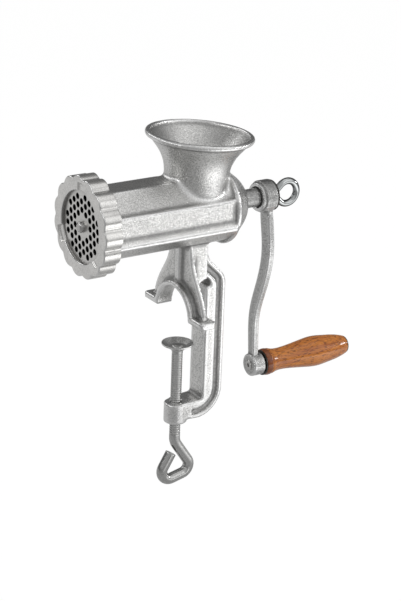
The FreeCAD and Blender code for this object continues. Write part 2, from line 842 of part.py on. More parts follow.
def grip_axle():
    """The axle: hollow riveted end in the boss, bar through the grip and a domed head."""
    tip = grip_boss_front - axle_end_proud
    cap_front = grip_back - cap_thickness
    bar = turned([
        (0, tip),
        (axle_end_radius - 0.5, tip),
        (axle_end_radius, grip_boss_front - 0.3),
        (axle_end_radius, grip_boss_front),
        (axle_radius, grip_boss_front),
        (axle_radius, grip_back + grip_side_play),
        (cap_head_radius, grip_back + grip_side_play),
        (cap_head_radius * 0.8, grip_back + grip_side_play + cap_head_height * 0.7),
        (cap_head_radius * 0.35, grip_back + grip_side_play + cap_head_height),
        (0, grip_back + grip_side_play + cap_head_height),
    ])
    bar = bar.cut(round_bar(axle_end_hole_radius, tip - 1, tip + 2 * axle_end_proud))
    bar.translate(Vector(0, 0, -crank_length))
    return bar


def grip_washer():
    """The thin dark washer between the crank's boss and the grip."""
    end = grip_boss_back + grip_washer_thickness
    ring = round_bar(grip_washer_radius, grip_boss_back, end, 0, -crank_length)
    return ring.cut(round_bar(axle_radius, grip_boss_back - 1, end + 1, 0, -crank_length))


def grip_end_cap():
    """The dark washer let into the grip's free end, under the axle's head."""
    start = grip_back + grip_side_play - cap_thickness
    end = grip_back + grip_side_play
    ring = round_bar(cap_radius, start, end, 0, -crank_length)
    return ring.cut(round_bar(axle_radius, start - 1, end + 1, 0, -crank_length))


def wooden_grip():
    """The turned grip: flange, neck, belly and tapering end, bored for its axle."""
    shape = [(0.0, grip_flange_radius - 0.6), (0.06, grip_flange_radius), (0.13, grip_neck_radius + 0.5),
             (0.22, grip_neck_radius), (0.34, grip_neck_radius + 0.9), (0.5, grip_belly_radius - 0.9),
             (0.62, grip_belly_radius), (0.74, grip_belly_radius - 0.9), (0.88, grip_tip_radius + 2.9),
             (1.0, grip_tip_radius)]
    points = [on_axis(0, grip_front + share * grip_length, radius) for share, radius in shape]
    ends = [on_axis(0, grip_back, 0), on_axis(0, grip_front, 0)]
    edges = [spline(points), Part.makeLine(points[-1], ends[0]),
             Part.makeLine(*ends), Part.makeLine(ends[1], points[0])]
    body = Part.Face(Part.Wire(edges)).revolve(on_axis(0, 0, 0), Vector(0, 1, 0), 360)
    seat_front = grip_back - cap_thickness
    bores = [
        round_bar(axle_radius + axle_clearance, grip_front - 1, grip_back + 1),
        round_bar(cap_radius + axle_clearance, seat_front, grip_back + 1),
    ]
    body = body.cut(bores)
    body.translate(Vector(0, 0, -crank_length))
    return body


def clamp_pad():
    """The dished pressure pad with its hub."""
    hole = pad_pin_radius + rod_clearance
    return turned_upright([
        (hole, pad_bottom),
        (pad_hub_radius - 0.8, pad_bottom),
        (pad_hub_radius, pad_bottom + 0.8),
        (pad_hub_radius, pad_floor - pad_thickness),
        (pad_radius, pad_top - pad_thickness * 0.7),
        (pad_radius, pad_top),
        (pad_radius - 0.7, pad_top),
        (pad_head_radius + 2.2, pad_floor),
        (hole, pad_floor),
    ])


def clamp_screw():
    """The clamp's rod: riveted pin in the pad, long shank and a loop bent from the same bar."""
    head = pad_floor + pad_play
    pin = turned_upright([
        (0, pad_bottom - pad_play),
        (pad_pin_radius, pad_bottom - pad_play),
        (pad_pin_radius, head),
        (pad_head_radius, head),
        (pad_head_radius * 0.8, head + pad_head_height * 0.7),
        (pad_head_radius * 0.4, head + pad_head_height),
        (0, head + pad_head_height),
    ])
    top = pad_bottom - pad_play
    places = [(0, top), (0, rod_bend), loop_right, loop_left, loop_end]
    corners = [Vector(0, y, z) for y, z in places]
    radii = [0, neck_turn_radius, loop_turn_radius, loop_turn_radius, 0]
    path = rounded_wire(corners, radii, closed=False)
    section = Part.Wire(Part.makeCircle(rod_radius, corners[0], Vector(0, 0, -1)))
    return pin.fuse(path.makePipeShell([section], True, False))


def build():
    """Every piece by name; what turns with the crank stands at the crank's rest angle."""
    turning = {
        "feed_screw": feed_screw,
        "knife_stud": knife_stud,
        "cross_knife": cross_knife,
        "crank_arm": crank_arm,
        "grip_axle": grip_axle,
        "grip_washer": grip_washer,
        "grip_end_cap": grip_end_cap,
        "wooden_grip": wooden_grip,
    }
    still = {
        "grinder_casting": grinder_casting,
        "plate_key": plate_key_bar,
        "rear_bush": rear_bush,
        "thrust_washer": thrust_washer,
        "ring_nut": ring_nut,
        "hole_plate": hole_plate,
        "crank_washer": crank_washer,
        "crank_eye_screw": eye_screw,
        "clamp_pad": clamp_pad,
        "clamp_screw": clamp_screw,
    }
    os.makedirs("parts", exist_ok=True)
    for name, make in still.items():
        export(name, make())
    for name, make in turning.items():
        export(name, turn_about_axis(make(), crank_rest_turn))


build()
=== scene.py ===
import math

import bmesh
import bpy
import numpy as np
from mathutils import Matrix, Vector


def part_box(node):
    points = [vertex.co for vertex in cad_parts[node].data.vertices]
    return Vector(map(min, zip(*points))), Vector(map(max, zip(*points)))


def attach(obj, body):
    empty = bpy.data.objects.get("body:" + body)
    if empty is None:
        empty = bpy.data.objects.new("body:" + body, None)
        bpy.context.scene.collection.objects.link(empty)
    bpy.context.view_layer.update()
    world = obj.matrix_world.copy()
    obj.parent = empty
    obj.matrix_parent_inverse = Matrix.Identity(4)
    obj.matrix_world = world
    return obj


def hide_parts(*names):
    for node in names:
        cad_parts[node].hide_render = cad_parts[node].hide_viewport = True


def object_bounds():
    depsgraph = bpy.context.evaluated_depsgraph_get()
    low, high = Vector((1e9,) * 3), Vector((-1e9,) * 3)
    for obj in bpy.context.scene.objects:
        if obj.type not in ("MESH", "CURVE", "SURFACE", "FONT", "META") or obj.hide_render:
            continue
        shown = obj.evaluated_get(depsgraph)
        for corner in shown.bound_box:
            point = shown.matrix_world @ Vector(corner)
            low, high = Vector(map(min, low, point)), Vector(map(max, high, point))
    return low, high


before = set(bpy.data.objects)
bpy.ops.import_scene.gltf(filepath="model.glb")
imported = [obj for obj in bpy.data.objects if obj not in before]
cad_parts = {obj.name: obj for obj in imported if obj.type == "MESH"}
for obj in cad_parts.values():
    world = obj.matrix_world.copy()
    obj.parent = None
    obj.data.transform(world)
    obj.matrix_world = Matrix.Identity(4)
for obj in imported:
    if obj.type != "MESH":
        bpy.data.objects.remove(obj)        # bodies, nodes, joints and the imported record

cadLow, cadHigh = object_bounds()
print("frame loaded with", len(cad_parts), "nodes")

mm = 0.001  # in metres, as all lengths are once they are out of a piece's dictionary
merging = {"node": 1e-6, "piece": 1e-7, "sliver": 1e-8}  # metres within which points are made one


def lengths(**sizes):
    # A piece's dictionary: each decimal number in it is in mm and becomes metres, and whole numbers stay.
    def metres(value):
        if isinstance(value, (tuple, list)):
            return [metres(part) for part in value]
        return value * mm if isinstance(value, float) else value

    return {key: metres(value) for key, value in sizes.items()}


# Measuring the frame

def nodeBox(node):
    # Lowest and highest corner of a CAD node.
    low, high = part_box(node)
    return np.array(low), np.array(high)


def nodeLine(node):
    # The line along Y through the middle of a turned node, given by its point at y = 0.
    low, high = nodeBox(node)
    return tuple((low + high) / 2 * (1, 0, 1))


def fromLine(points, line):
    # Distance of each point from a line along Y.
    return np.hypot(points[:, 0] - line[0], points[:, 2] - line[2])


barrelLine = nodeLine("rear_bush")
gripLine = nodeLine("grip_washer")


def addObject(name, data):
    # A new object at the origin, in the scene.
    thing = bpy.data.objects.new(name, data)
    bpy.context.scene.collection.objects.link(thing)
    return thing


# Lines and grids

def roundedLine(corners, radii, arcSteps=4, closed=False):
    # Straight runs through the corners, each corner swapped for a tangent arc of its radius.
    corners = np.array(corners, float)
    count = len(corners)
    parts = []
    for i, radius in enumerate(radii):
        corner = corners[i]
        if radius == 0 or (not closed and i in (0, count - 1)):
            parts.append(corner[None])
            continue
        back = corners[i - 1] - corner
        ahead = corners[(i + 1) % count] - corner
        back, ahead = back / np.linalg.norm(back), ahead / np.linalg.norm(ahead)
        half = np.arccos(np.clip(back @ ahead, -1, 1)) / 2
        inward = (back + ahead) / np.linalg.norm(back + ahead)
        centre = corner + inward * radius / math.sin(half)
        start = corner + back * radius / math.tan(half) - centre
        end = corner + ahead * radius / math.tan(half) - centre
        turn = math.pi - 2 * half
        t = np.linspace(0, 1, arcSteps + 1)[:, None]
        parts.append(centre + (np.sin((1 - t) * turn) * start + np.sin(t * turn) * end) / math.sin(turn))
    return np.vstack(parts)


def lengthsAlong(line):
    # Distance of each point of a line from its first, along the line.
    return np.concatenate([[0], np.cumsum(np.linalg.norm(np.diff(line, axis=0), axis=1))])


def placesAt(line, distances):
    # Places at distances along the line, by straight interpolation, held at its ends.
    reach = lengthsAlong(line)
    return np.stack([np.interp(distances, reach, line[:, k]) for k in range(line.shape[1])], 1)


def evenLine(line, step):
    # The same line with its points at most a step apart.
    reach = lengthsAlong(line)
    stations = [np.linspace(a, b, max(2, int(math.ceil((b - a) / step)) + 1))[:-1]
                for a, b in zip(reach[:-1], reach[1:]) if b > a]
    return placesAt(line, np.concatenate(stations + [[reach[-1]]]))


def roundedProfile(corners, radii, step):
    # A closed outline for the lathe: its corners rounded, its points at most a step apart.
    line = roundedLine(corners, radii, closed=True)
    return evenLine(np.vstack([line, line[:1]]), step)[:-1]


def edgeArc(steps):
    # sin t and 1 - cos t of a quarter turn, for rounding an edge.
    t = np.linspace(0, math.pi / 2, steps + 1)
    return np.sin(t), 1 - np.cos(t)


def easedEnd(station, radius, edge):
    # Three points of a rounded edge, the middle one about 1 - 1 / root 2 of the edge in.
    inset = 0.3 * edge
    return [(station - edge, radius), (station - inset, radius - inset), (station, radius - edge)]


def fullTurn(steps):
    # Even angles round one turn, as a column.
    return np.linspace(0, 2 * math.pi, steps, endpoint=False)[:, None]


def turned(angle, radius, station, line):
    # Round a line along Y: (x + r cos a, station, z + r sin a).
    x, z = line[0] + radius * np.cos(angle), line[2] + radius * np.sin(angle)
    return np.stack([x, np.broadcast_to(station, x.shape), z], -1)


def lathe(profile, steps, line):
    # Each (radius, station) of the profile goes round a line along Y.
    return turned(fullTurn(steps), profile[:, 0], profile[:, 1], line)


def gridQuads(rows, cols, closing):
    # Four-cornered faces between neighbours of a grid of points, wrapped round its rows, its cols or both.
    r = np.arange(rows - (closing == "cols"))[:, None]
    c = np.arange(cols - (closing == "rows"))[None, :]
    r2, c2 = (r + 1) % rows, (c + 1) % cols
    quads = np.stack(np.broadcast_arrays(r * cols + c, r2 * cols + c, r2 * cols + c2, r * cols + c2), -1)
    return quads.reshape(-1, 4)


# Nodes of the shaders

def put(tree, kind, inputs=(), **settings):
    # A shader node with its settings, and with each input linked to a socket or set to a value.
    node = tree.nodes.new("ShaderNode" + kind)
    for key, value in settings.items():
        setattr(node, key, value)
    for key, value in dict(inputs).items():
        if isinstance(value, bpy.types.NodeSocket):
            tree.links.new(value, node.inputs[key])
        else:
            node.inputs[key].default_value = value
    return node


def maths(tree, operation, a, b=0.0, clamp=False):
    # The operation on a and b.
    return put(tree, "Math", {0: a, 1: b}, operation=operation, use_clamp=clamp).outputs[0]


def times(tree, a, b):
    # a * b.
    return maths(tree, "MULTIPLY", a, b)


def spread(tree, value, low, high, toLow, toHigh):
    # A value from low to high becomes one from toLow to toHigh, held at the ends.
    return put(tree, "MapRange", {0: value, 1: low, 2: high, 3: toLow, 4: toHigh}, clamp=True).outputs[0]


def noise(tree, place, scale, detail, rough=0.5, distortion=0.0):
    # Noise of a place, about scale waves to the metre.
    return put(tree, "TexNoise", {"Vector": place, "Scale": scale, "Detail": detail, "Roughness": rough,
                                  "Distortion": distortion}).outputs[0]


def mixColour(tree, share, a, b):
    # a + share (b - a).
    return put(tree, "Mix", {0: share, 6: a, 7: b}, data_type="RGBA").outputs[2]


def grey(level):
    # The same level of red, green and blue.
    return (level, level, level, 1.0)


def startGroup(name, inputs, outputs):
    # An empty shader group with its two end nodes. Inputs are numbers, vectors of 3 or colours of 4.
    group = bpy.data.node_groups.new(name, "ShaderNodeTree")
    kinds = {1: "NodeSocketFloat", 3: "NodeSocketVector", 4: "NodeSocketColor"}
    for socketName in outputs:
        kind = kinds[4 if socketName == "Colour" else 1]
        group.interface.new_socket(socketName, in_out="OUTPUT", socket_type=kind)
    for socketName, value in inputs.items():
        socket = group.interface.new_socket(socketName, in_out="INPUT", socket_type=kinds[np.size(value)])
        socket.default_value = value
    start = group.nodes.new("NodeGroupInput")
    end = group.nodes.new("NodeGroupOutput")
    return group, start.outputs, end.inputs


def roundLine(tree, place, centre):
    # Distance of a place from the line along Y through the centre, and its station along that line.
    local = put(tree, "VectorMath", {0: place, 1: centre}, operation="SUBTRACT").outputs[0]
    parts = put(tree, "SeparateXYZ", {0: local}).outputs
    across = put(tree, "CombineXYZ", {0: parts[0], 2: parts[2]}).outputs[0]
    return put(tree, "VectorMath", {0: across}, operation="LENGTH").outputs["Value"], parts[1]


# Below, a share or rough is (from, to, what it is at either), and a noise is (scale, detail, roughness).

castGrain = {
    "fine": (1500.0, 3.0, 0.6), "coarse": (850.0, 2.0, 0.5), "cloud": (55.0, 3.0, 0.55),
    "pitScale": 420.0, "pitShare": (0.05, 0.3, 1.0, 0.0), "pitDepth": 0.2,
    "cloudShare": (0.35, 0.65, 0.0, 0.2), "cloudTone": 0.30,
    "speckShare": (0.40, 0.58, 0.38, 0.0), "speckTone": 0.22,
    "grainRough": (0.38, 0.62, 0.14, -0.1),
    # bright ridges: partly the wear of tumbling, partly a painted highlight; dark hollows: painted shade
    "ridge": {"share": 0.6, "tone": 0.92, "rough": -0.08},
    "hollow": {"share": 0.55, "tone": 0.14, "rough": 0.15},
}


def castGroup():
    # Sand-cast, tumbled metal. The height is the mean of a fine and a coarse noise, less the pits. Slow
    # clouds, and specks where the grain is low, grey the tone, which is bright on ridges, partly as the wear
    # of tumbling and partly as a painted highlight, and dark in hollows as painted shade.
    look = castGrain
    group, given, out = startGroup(
        "castSurface", {"Tone": grey(0.6), "Grain": 1.0, "Ridge": 0.0, "Shine": 0.35, "Contrast": 1.0},
        ("Colour", "Roughness", "Height"))
    place = put(group, "TexCoord").outputs["Object"]
    fine, coarse, cloud = (noise(group, place, *look[name]) for name in ("fine", "coarse", "cloud"))
    pitCells = put(group, "TexVoronoi", {"Vector": place, "Scale": look["pitScale"]}).outputs["Distance"]
    pits = spread(group, pitCells, *look["pitShare"])
    grain = times(group, maths(group, "ADD", fine, coarse), 0.5)
    height = maths(group, "SUBTRACT", grain, times(group, pits, look["pitDepth"]))
    group.links.new(times(group, height, given["Grain"]), out["Height"])
    clouds = spread(group, cloud, *look["cloudShare"])
    colour = mixColour(group, clouds, given["Tone"], grey(look["cloudTone"]))
    specks = times(group, spread(group, grain, *look["speckShare"]), given["Contrast"])
    colour = mixColour(group, specks, colour, grey(look["speckTone"]))
    rough = maths(group, "ADD", given["Shine"], spread(group, grain, *look["grainRough"]))
    # a painted highlight on ridges, with the edges' wear, and painted shade in hollows
    for name, sign in (("ridge", 1.0), ("hollow", -1.0)):
        mask = maths(group, "MULTIPLY", given["Ridge"], sign, clamp=True)
        colour = mixColour(group, times(group, mask, look[name]["share"]), colour, grey(look[name]["tone"]))
        rough = maths(group, "ADD", rough, times(group, mask, look[name]["rough"]), clamp=name == "hollow")
    group.links.new(colour, out["Colour"])
    group.links.new(rough, out["Roughness"])
    return group


latheMarks = {
    "marks": (3.0, 0.65), "cloud": (120.0, 3.0),  # the marks' scale comes from their spacing
    "markShare": (0.35, 0.65, 0.35, 0.0), "markTone": 0.25, "markRough": (0.3, 0.7, 0.08, -0.05),
    "cloudShare": (0.35, 0.7, 0.0, 0.15), "cloudTone": 0.35, "cloudRough": (0.3, 0.7, -0.03, 0.06),
}


def turnedGroup():
    # Lathe and grinding marks: noise of the distance from an axis and the station along it, so it is thin
    # rings on a face and fine lines on a side.
    look = latheMarks
    group, given, out = startGroup(
        "turnedMarks",
        {"Tone": grey(0.6), "Centre": (0, 0, 0), "Spacing": 0.4, "Contrast": 1.0, "Shine": 0.3},
        ("Colour", "Roughness", "Height"))
    place = put(group, "TexCoord").outputs["Object"]
    radius, station = roundLine(group, place, given["Centre"])
    rings = put(group, "CombineXYZ", {0: radius, 1: station}).outputs[0]
    marks = noise(group, rings, maths(group, "DIVIDE", 1 / mm, given["Spacing"]), *look["marks"])
    cloud = noise(group, place, *look["cloud"])
    group.links.new(marks, out["Height"])
    lines = times(group, spread(group, marks, *look["markShare"]), given["Contrast"])
    tone = mixColour(group, lines, given["Tone"], grey(look["markTone"]))
    tone = mixColour(group, spread(group, cloud, *look["cloudShare"]), tone, grey(look["cloudTone"]))
    group.links.new(tone, out["Colour"])
    rough = maths(group, "ADD", given["Shine"], spread(group, marks, *look["markRough"]))
    group.links.new(maths(group, "ADD", rough, spread(group, cloud, *look["cloudRough"])), out["Roughness"])
    return group


woodFigure = {
    "broad": {"Scale": (150.0, 14.0, 150.0), "Rotation": (0.12, 0.0, 0.2)},
    "long": {"Scale": (900.0, 55.0, 900.0)},
    "short": {"Scale": (1300.0, 200.0, 1300.0)},
    "bands": (1.0, 3.0, 0.5, 0.7), "fibres": (1.0, 4.0, 0.6), "pores": (1.0, 1.0),  # 0.7 is distortion
    "fibreWeight": 0.8, "lightShare": (0.68, 1.12, 0.0, 1.0),
    "poreShare": (0.55, 0.64, 0.0, 1.0), "poreWeight": 0.7, "poreTone": (0.14, 0.03, 0.006, 1.0),
}


def woodGroup():
    # Turned hardwood along Y: the share of the light colour is slow bands of the growth rings plus long thin
    # fibres, and short pores are dark and sunk.
    look = woodFigure
    group, given, out = startGroup(
        "woodGrain", {"Light": grey(0.6), "Dark": grey(0.2), "Centre": (0, 0, 0)}, ("Colour", "Height"))
    place = put(group, "TexCoord").outputs["Object"]
    local = put(group, "VectorMath", {0: place, 1: given["Centre"]}, operation="SUBTRACT").outputs[0]
    broad, long, short = (put(group, "Mapping", {"Vector": local, **look[name]}).outputs[0]
                          for name in ("broad", "long", "short"))
    bands = noise(group, broad, *look["bands"])
    fibres = noise(group, long, *look["fibres"])
    pores = spread(group, noise(group, short, *look["pores"]), *look["poreShare"])
    figure = maths(group, "ADD", bands, times(group, fibres, look["fibreWeight"]))
    base = mixColour(group, spread(group, figure, *look["lightShare"]), given["Dark"], given["Light"])
    pored = mixColour(group, times(group, pores, look["poreWeight"]), base, look["poreTone"])
    group.links.new(pored, out["Colour"])
    group.links.new(maths(group, "SUBTRACT", fibres, pores), out["Height"])
    return group


castSurface = castGroup()
turnedMarks = turnedGroup()
woodGrain = woodGroup()


# Materials

def startMaterial(name, sockets):
    # A Principled shader with its plain values, joined to an output.
    material = bpy.data.materials.new(name)
    material.use_nodes = True
    tree = material.node_tree
    tree.nodes.clear()
    shader = put(tree, "BsdfPrincipled", sockets)
    put(tree, "OutputMaterial", {0: shader.outputs[0]})
    return material, tree, shader


def finishShader(tree, shader, colour, height, depth):
    # The colour, and the height through a bump of that depth.
    tree.links.new(colour, shader.inputs["Base Color"])
    bump = put(tree, "Bump", {"Height": height, "Distance": depth, "Strength": 1.0})
    tree.links.new(bump.outputs[0], shader.inputs["Normal"])


# Painted shade in the plate's holes: the rim's radii, the lean of a wall, and its tone.
drilled = {"rim": (30.2 * mm, 30.5 * mm), "lean": (0.4, 0.6), "tone": 0.03}


def drilledWalls(tree, colour):
    # Painted shade on the holes' walls: inside the rim, where a face looks along Y less than across it.
    place = put(tree, "TexCoord").outputs["Object"]
    facing = put(tree, "SeparateXYZ", {0: put(tree, "NewGeometry").outputs["True Normal"]}).outputs[1]
    inside = spread(tree, roundLine(tree, place, barrelLine)[0], *drilled["rim"], 1.0, 0.0)
    wall = spread(tree, maths(tree, "ABSOLUTE", facing), *drilled["lean"], 1.0, 0.0)
    return mixColour(tree, times(tree, wall, inside), colour, grey(drilled["tone"]))


# A painted reflection at the outline of bright plating: the blend, the share and the tone.
plated = {"blend": 0.5, "share": (0.2, 0.55, 0.0, 0.95), "tone": 0.02}


def darkOutline(tree, colour):
    # A painted reflection: bright plating darkens towards its outline, standing in for the dark side of the
    # studio mirrored there.
    facing = put(tree, "LayerWeight", {"Blend": plated["blend"]}).outputs["Facing"]
    return mixColour(tree, spread(tree, facing, *plated["share"]), colour, grey(plated["tone"]))


recolours = {"plateSteel": drilledWalls, "chromeSteel": darkOutline}


def metalMaterial(name, group, look, depth):
    # The group's colour, roughness and height on bare metal. A piece's ridge attribute, if it has one, says
    # where it is bright (1), as a painted highlight, on cast edges also their wear, or dark (-1), as painted
    # shade.
    material, tree, shader = startMaterial(name, {"Metallic": 1.0})
    surface = put(tree, "Group", look, node_tree=group)
    if "Ridge" in surface.inputs:
        ridge = put(tree, "Attribute", attribute_name="ridge", attribute_type="GEOMETRY")
        tree.links.new(ridge.outputs["Fac"], surface.inputs["Ridge"])
    colour = surface.outputs["Colour"]
    if name in recolours:
        colour = recolours[name](tree, colour)
    tree.links.new(surface.outputs["Roughness"], shader.inputs["Roughness"])
    finishShader(tree, shader, colour, surface.outputs["Height"], depth)
    return material


castLooks = {  # tone, grain, shine (the roughness), contrast, and depth in mm
    "castAluminium": ((0.85, 0.845, 0.83), 1.0, 0.26, 1.25, 0.32),
    "crankAluminium": ((0.58, 0.58, 0.57), 1.0, 0.27, 1.8, 0.38),
    "nutAluminium": ((0.84, 0.83, 0.81), 0.6, 0.20, 0.5, 0.18),
    "rodSteel": ((0.60, 0.60, 0.59), 0.4, 0.18, 0.9, 0.08),
    "padSteel": ((0.86, 0.86, 0.85), 0.6, 0.24, 0.8, 0.1),
    "chromeSteel": ((0.56, 0.58, 0.58), 0.2, 0.05, 0.2, 0.02),
}
turnedLooks = {  # tone, centre, spacing of the marks in mm, shine and contrast
    "plateSteel": ((0.80, 0.79, 0.77), barrelLine, 0.3, 0.3, 0.8),
    # the knife's tone is darkened as painted shade, for the dim chamber behind the plate
    "knifeSteel": ((0.26, 0.26, 0.255), barrelLine, 0.3, 0.35, 1.0),
    "brightSteel": ((0.58, 0.57, 0.56), barrelLine, 0.3, 0.2, 0.6),
    "bushBrass": ((0.62, 0.48, 0.24), barrelLine, 0.4, 0.3, 1.0),
    "darkSteel": ((0.04, 0.035, 0.03), gripLine, 0.4, 0.3, 0.4),
}
turnedDepth = 0.01 * mm

wood = {
    "grain": {"Light": (0.80, 0.28, 0.038, 1.0), "Dark": (0.46, 0.12, 0.014, 1.0), "Centre": gripLine},
    "depth": 0.04 * mm,
    "varnish": {"Metallic": 0.0, "Roughness": 0.35, "Coat Weight": 0.9, "Coat Roughness": 0.06,
                "Specular IOR Level": 0.2, "IOR": 1.5},
    "stainEnds": (4.4 * mm, 5.2 * mm), "stainShare": 0.75, "stain": (0.13, 0.018, 0.004, 1.0),
}


def woodMaterial():
    # The flange is stained darker: a step along Y from the grip's front end.
    material, tree, shader = startMaterial("varnishedWood", wood["varnish"])
    surface = put(tree, "Group", wood["grain"], node_tree=woodGrain).outputs
    station = put(tree, "SeparateXYZ", {0: put(tree, "TexCoord").outputs["Object"]}).outputs[1]
    low, high = nodeBox("wooden_grip")[0][1] + np.array(wood["stainEnds"])
    stain = spread(tree, station, low, high, wood["stainShare"], 0.0)
    colour = mixColour(tree, stain, surface["Colour"], wood["stain"])
    finishShader(tree, shader, colour, surface["Height"], wood["depth"])
    return material


materials = {"varnishedWood": woodMaterial()}
for name, (tone, grain, shine, contrast, depth) in castLooks.items():
    look = {"Tone": (*tone, 1.0), "Grain": grain, "Shine": shine, "Contrast": contrast}
    materials[name] = metalMaterial(name, castSurface, look, depth * mm)
for name, (tone, centre, spacing, shine, contrast) in turnedLooks.items():
    look = {"Tone": (*tone, 1.0), "Centre": centre, "Spacing": spacing, "Shine": shine, "Contrast": contrast}
    materials[name] = metalMaterial(name, turnedMarks, look, turnedDepth)
print(len(materials), "materials made")


# Pieces

def linkMesh(name, mesh, body, materialName, stands=()):
    # A smooth mesh becomes a piece on its body, in place of the CAD nodes it stands for.
    mesh.materials.clear()
    mesh.materials.append(materials[materialName])
    mesh.polygons.foreach_set("use_smooth", np.ones(len(mesh.polygons), bool))
    piece = addObject(name, mesh)
    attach(piece, body)
    if stands:
        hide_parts(*stands)
    return piece


def makePiece(name, grids, body, materialName, stands=()):
    # Grids of points, each with the way it closes, in one mesh: poles and seams are merged, faces point out.
    points, quads, count = [], [], 0
    for grid, closing in grids:
        quads.append(gridQuads(*grid.shape[:2], closing) + count)
        points.append(grid.reshape(-1, 3))
        count += len(points[-1])
    mesh = bpy.data.meshes.new(name)
    mesh.from_pydata(np.vstack(points).tolist(), [], np.vstack(quads).tolist())
    work = bmesh.new()
    work.from_mesh(mesh)
    bmesh.ops.remove_doubles(work, verts=work.verts, dist=merging["piece"])
    bmesh.ops.dissolve_degenerate(work, edges=work.edges, dist=merging["sliver"])
    bmesh.ops.recalc_face_normals(work, faces=work.faces)
    work.to_mesh(mesh)
    work.free()
    return linkMesh(name, mesh, body, materialName, stands)


# Cast pieces: a copy of the CAD node, made anew in small even faces, its edges and corners softened

softening = {"step": 0.5, "stepBack": 0.52, "rounds": 2, "ridgeRounds": 6}


def neighbourMean(points, edges):
    # For each point, the mean of the points at the other ends of its edges.
    count = np.bincount(edges.ravel(), minlength=len(points))[:, None]
    total = np.stack([np.bincount(edges[:, 0], points[edges[:, 1], k], len(points))
                      + np.bincount(edges[:, 1], points[edges[:, 0], k], len(points)) for k in range(3)], 1)
    return total / np.maximum(count, 1)


def softened(points, edges):
    # Pairs of a step towards the neighbours and a slightly longer step back: edges soften, sizes stay.
    for _ in range(softening["rounds"]):
        for step in (softening["step"], -softening["stepBack"]):
            points = points + step * (neighbourMean(points, edges) - points)
    return points


def blended(points, edges, weight, rounds):
    # Each point moves its weight's share of the way to its neighbours' mean, round after round.
    for _ in range(rounds):
        points = points + weight[:, None] * (neighbourMean(points, edges) - points)
    return points


def meshArrays(mesh):
    # The points of a mesh, and the two ends of each edge.
    points = np.zeros(len(mesh.vertices) * 3)
    mesh.vertices.foreach_get("co", points)
    edges = np.zeros(len(mesh.edges) * 2, int)
    mesh.edges.foreach_get("vertices", edges)
    return points.reshape(-1, 3), edges.reshape(-1, 2)


def remade(node, voxel):
    # The node's closed surface, rebuilt in even squares of the voxel's size.
    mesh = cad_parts[node].data.copy()
    work = bmesh.new()
    work.from_mesh(mesh)
    bmesh.ops.remove_doubles(work, verts=work.verts, dist=merging["node"])
    work.to_mesh(mesh)
    work.free()
    holder = addObject("holder", mesh)
    modifier = holder.modifiers.new("even", "REMESH")
    modifier.mode = "VOXEL"
    modifier.voxel_size = voxel
    graph = bpy.context.evaluated_depsgraph_get()
    made = bpy.data.meshes.new_from_object(holder.evaluated_get(graph))
    bpy.data.objects.remove(holder)
    bpy.data.meshes.remove(mesh)
    return made


def keepRidge(mesh, ridge):
    # The attribute that the cast materials read.
    attribute = mesh.attributes.new("ridge", "FLOAT", "POINT")
    attribute.data.foreach_set("value", ridge.astype(np.float32))


def markRidges(mesh, reach, polish):
    # Ridge is how far a point stands out from the mean of its surroundings, from -1 in a hollow to 1 on an
    # edge, where the materials paint shade and a highlight. Painted light pulls it towards 1 for a painted
    # highlight, or towards -1 where it is below 0, for painted shade.
    points, edges = meshArrays(mesh)
    normals = np.zeros(len(points) * 3)
    mesh.vertex_normals.foreach_get("vector", normals)
    mean = points
    for _ in range(softening["ridgeRounds"]):
        mean = neighbourMean(mean, edges)
    ridge = np.clip(((points - mean) * normals.reshape(-1, 3)).sum(1) / reach, -1, 1)
    keepRidge(mesh, ridge + np.abs(polish) * (np.sign(polish) - ridge))


def castPiece(name, node, body, materialName, sizes, shape):
    # The node remade, softened and shaped, which also says where light and shade are painted, and kept in
    # the node's box.
    mesh = remade(node, sizes["voxel"])
    points, edges = meshArrays(mesh)
    points, polish = shape(softened(points, edges), edges)
    points = np.clip(points, *nodeBox(node))
    mesh.vertices.foreach_set("co", points.ravel())
    mesh.update()
    markRidges(mesh, sizes["ridgeReach"], polish)
    linkMesh(name, mesh, body, materialName, (node,))
    print(name, "has", len(mesh.polygons), "faces")


# Surfaces that other pieces run in or on are put back on their true radius after the softening

fitting = lengths(reach=0.7, ends=0.5)


def fitRound(points, axis, centre, radius, low, high, wanted=None):
    # Points near a cylinder along the axis move straight out or in to its radius, or to the wanted one.
    across = [k for k in range(3) if k != axis]
    offset = points[:, across] - np.array(centre)
    distance = np.linalg.norm(offset, axis=1)
    inEnds = (points[:, axis] > low + fitting["ends"]) & (points[:, axis] < high - fitting["ends"])
    chosen = inEnds & (np.abs(distance - radius) < fitting["reach"])
    scale = (radius if wanted is None else wanted) / distance[chosen]
    fitted = points.copy()
    fitted[np.ix_(chosen, across)] = np.array(centre) + offset[chosen] * scale[:, None]
    return fitted


casting = lengths(
    voxel=1.1, ridgeReach=0.2,
    seat=(31.1, -87.6, -83.6),  # radius, front and back of each round
    chamber=(29.3, -83.6, -77.8), bore=(23.5, -77.8, 29.2), bushBore=(9.56, 29.2, 51.0),
    collar=(34.2, -87.6, -79.2), collarRoot=33.0, rodHole=(4.56, -94.4, -77.2),
    neckPivot=(0.0, 12.2, 112.5), neckTilt=4, neckRadius=25.2, neckInside=1.6,
    barrelTop=27.0, facetReach=26.76, panelSide=28.7, filletReach=2.6, filletRounds=14,
)


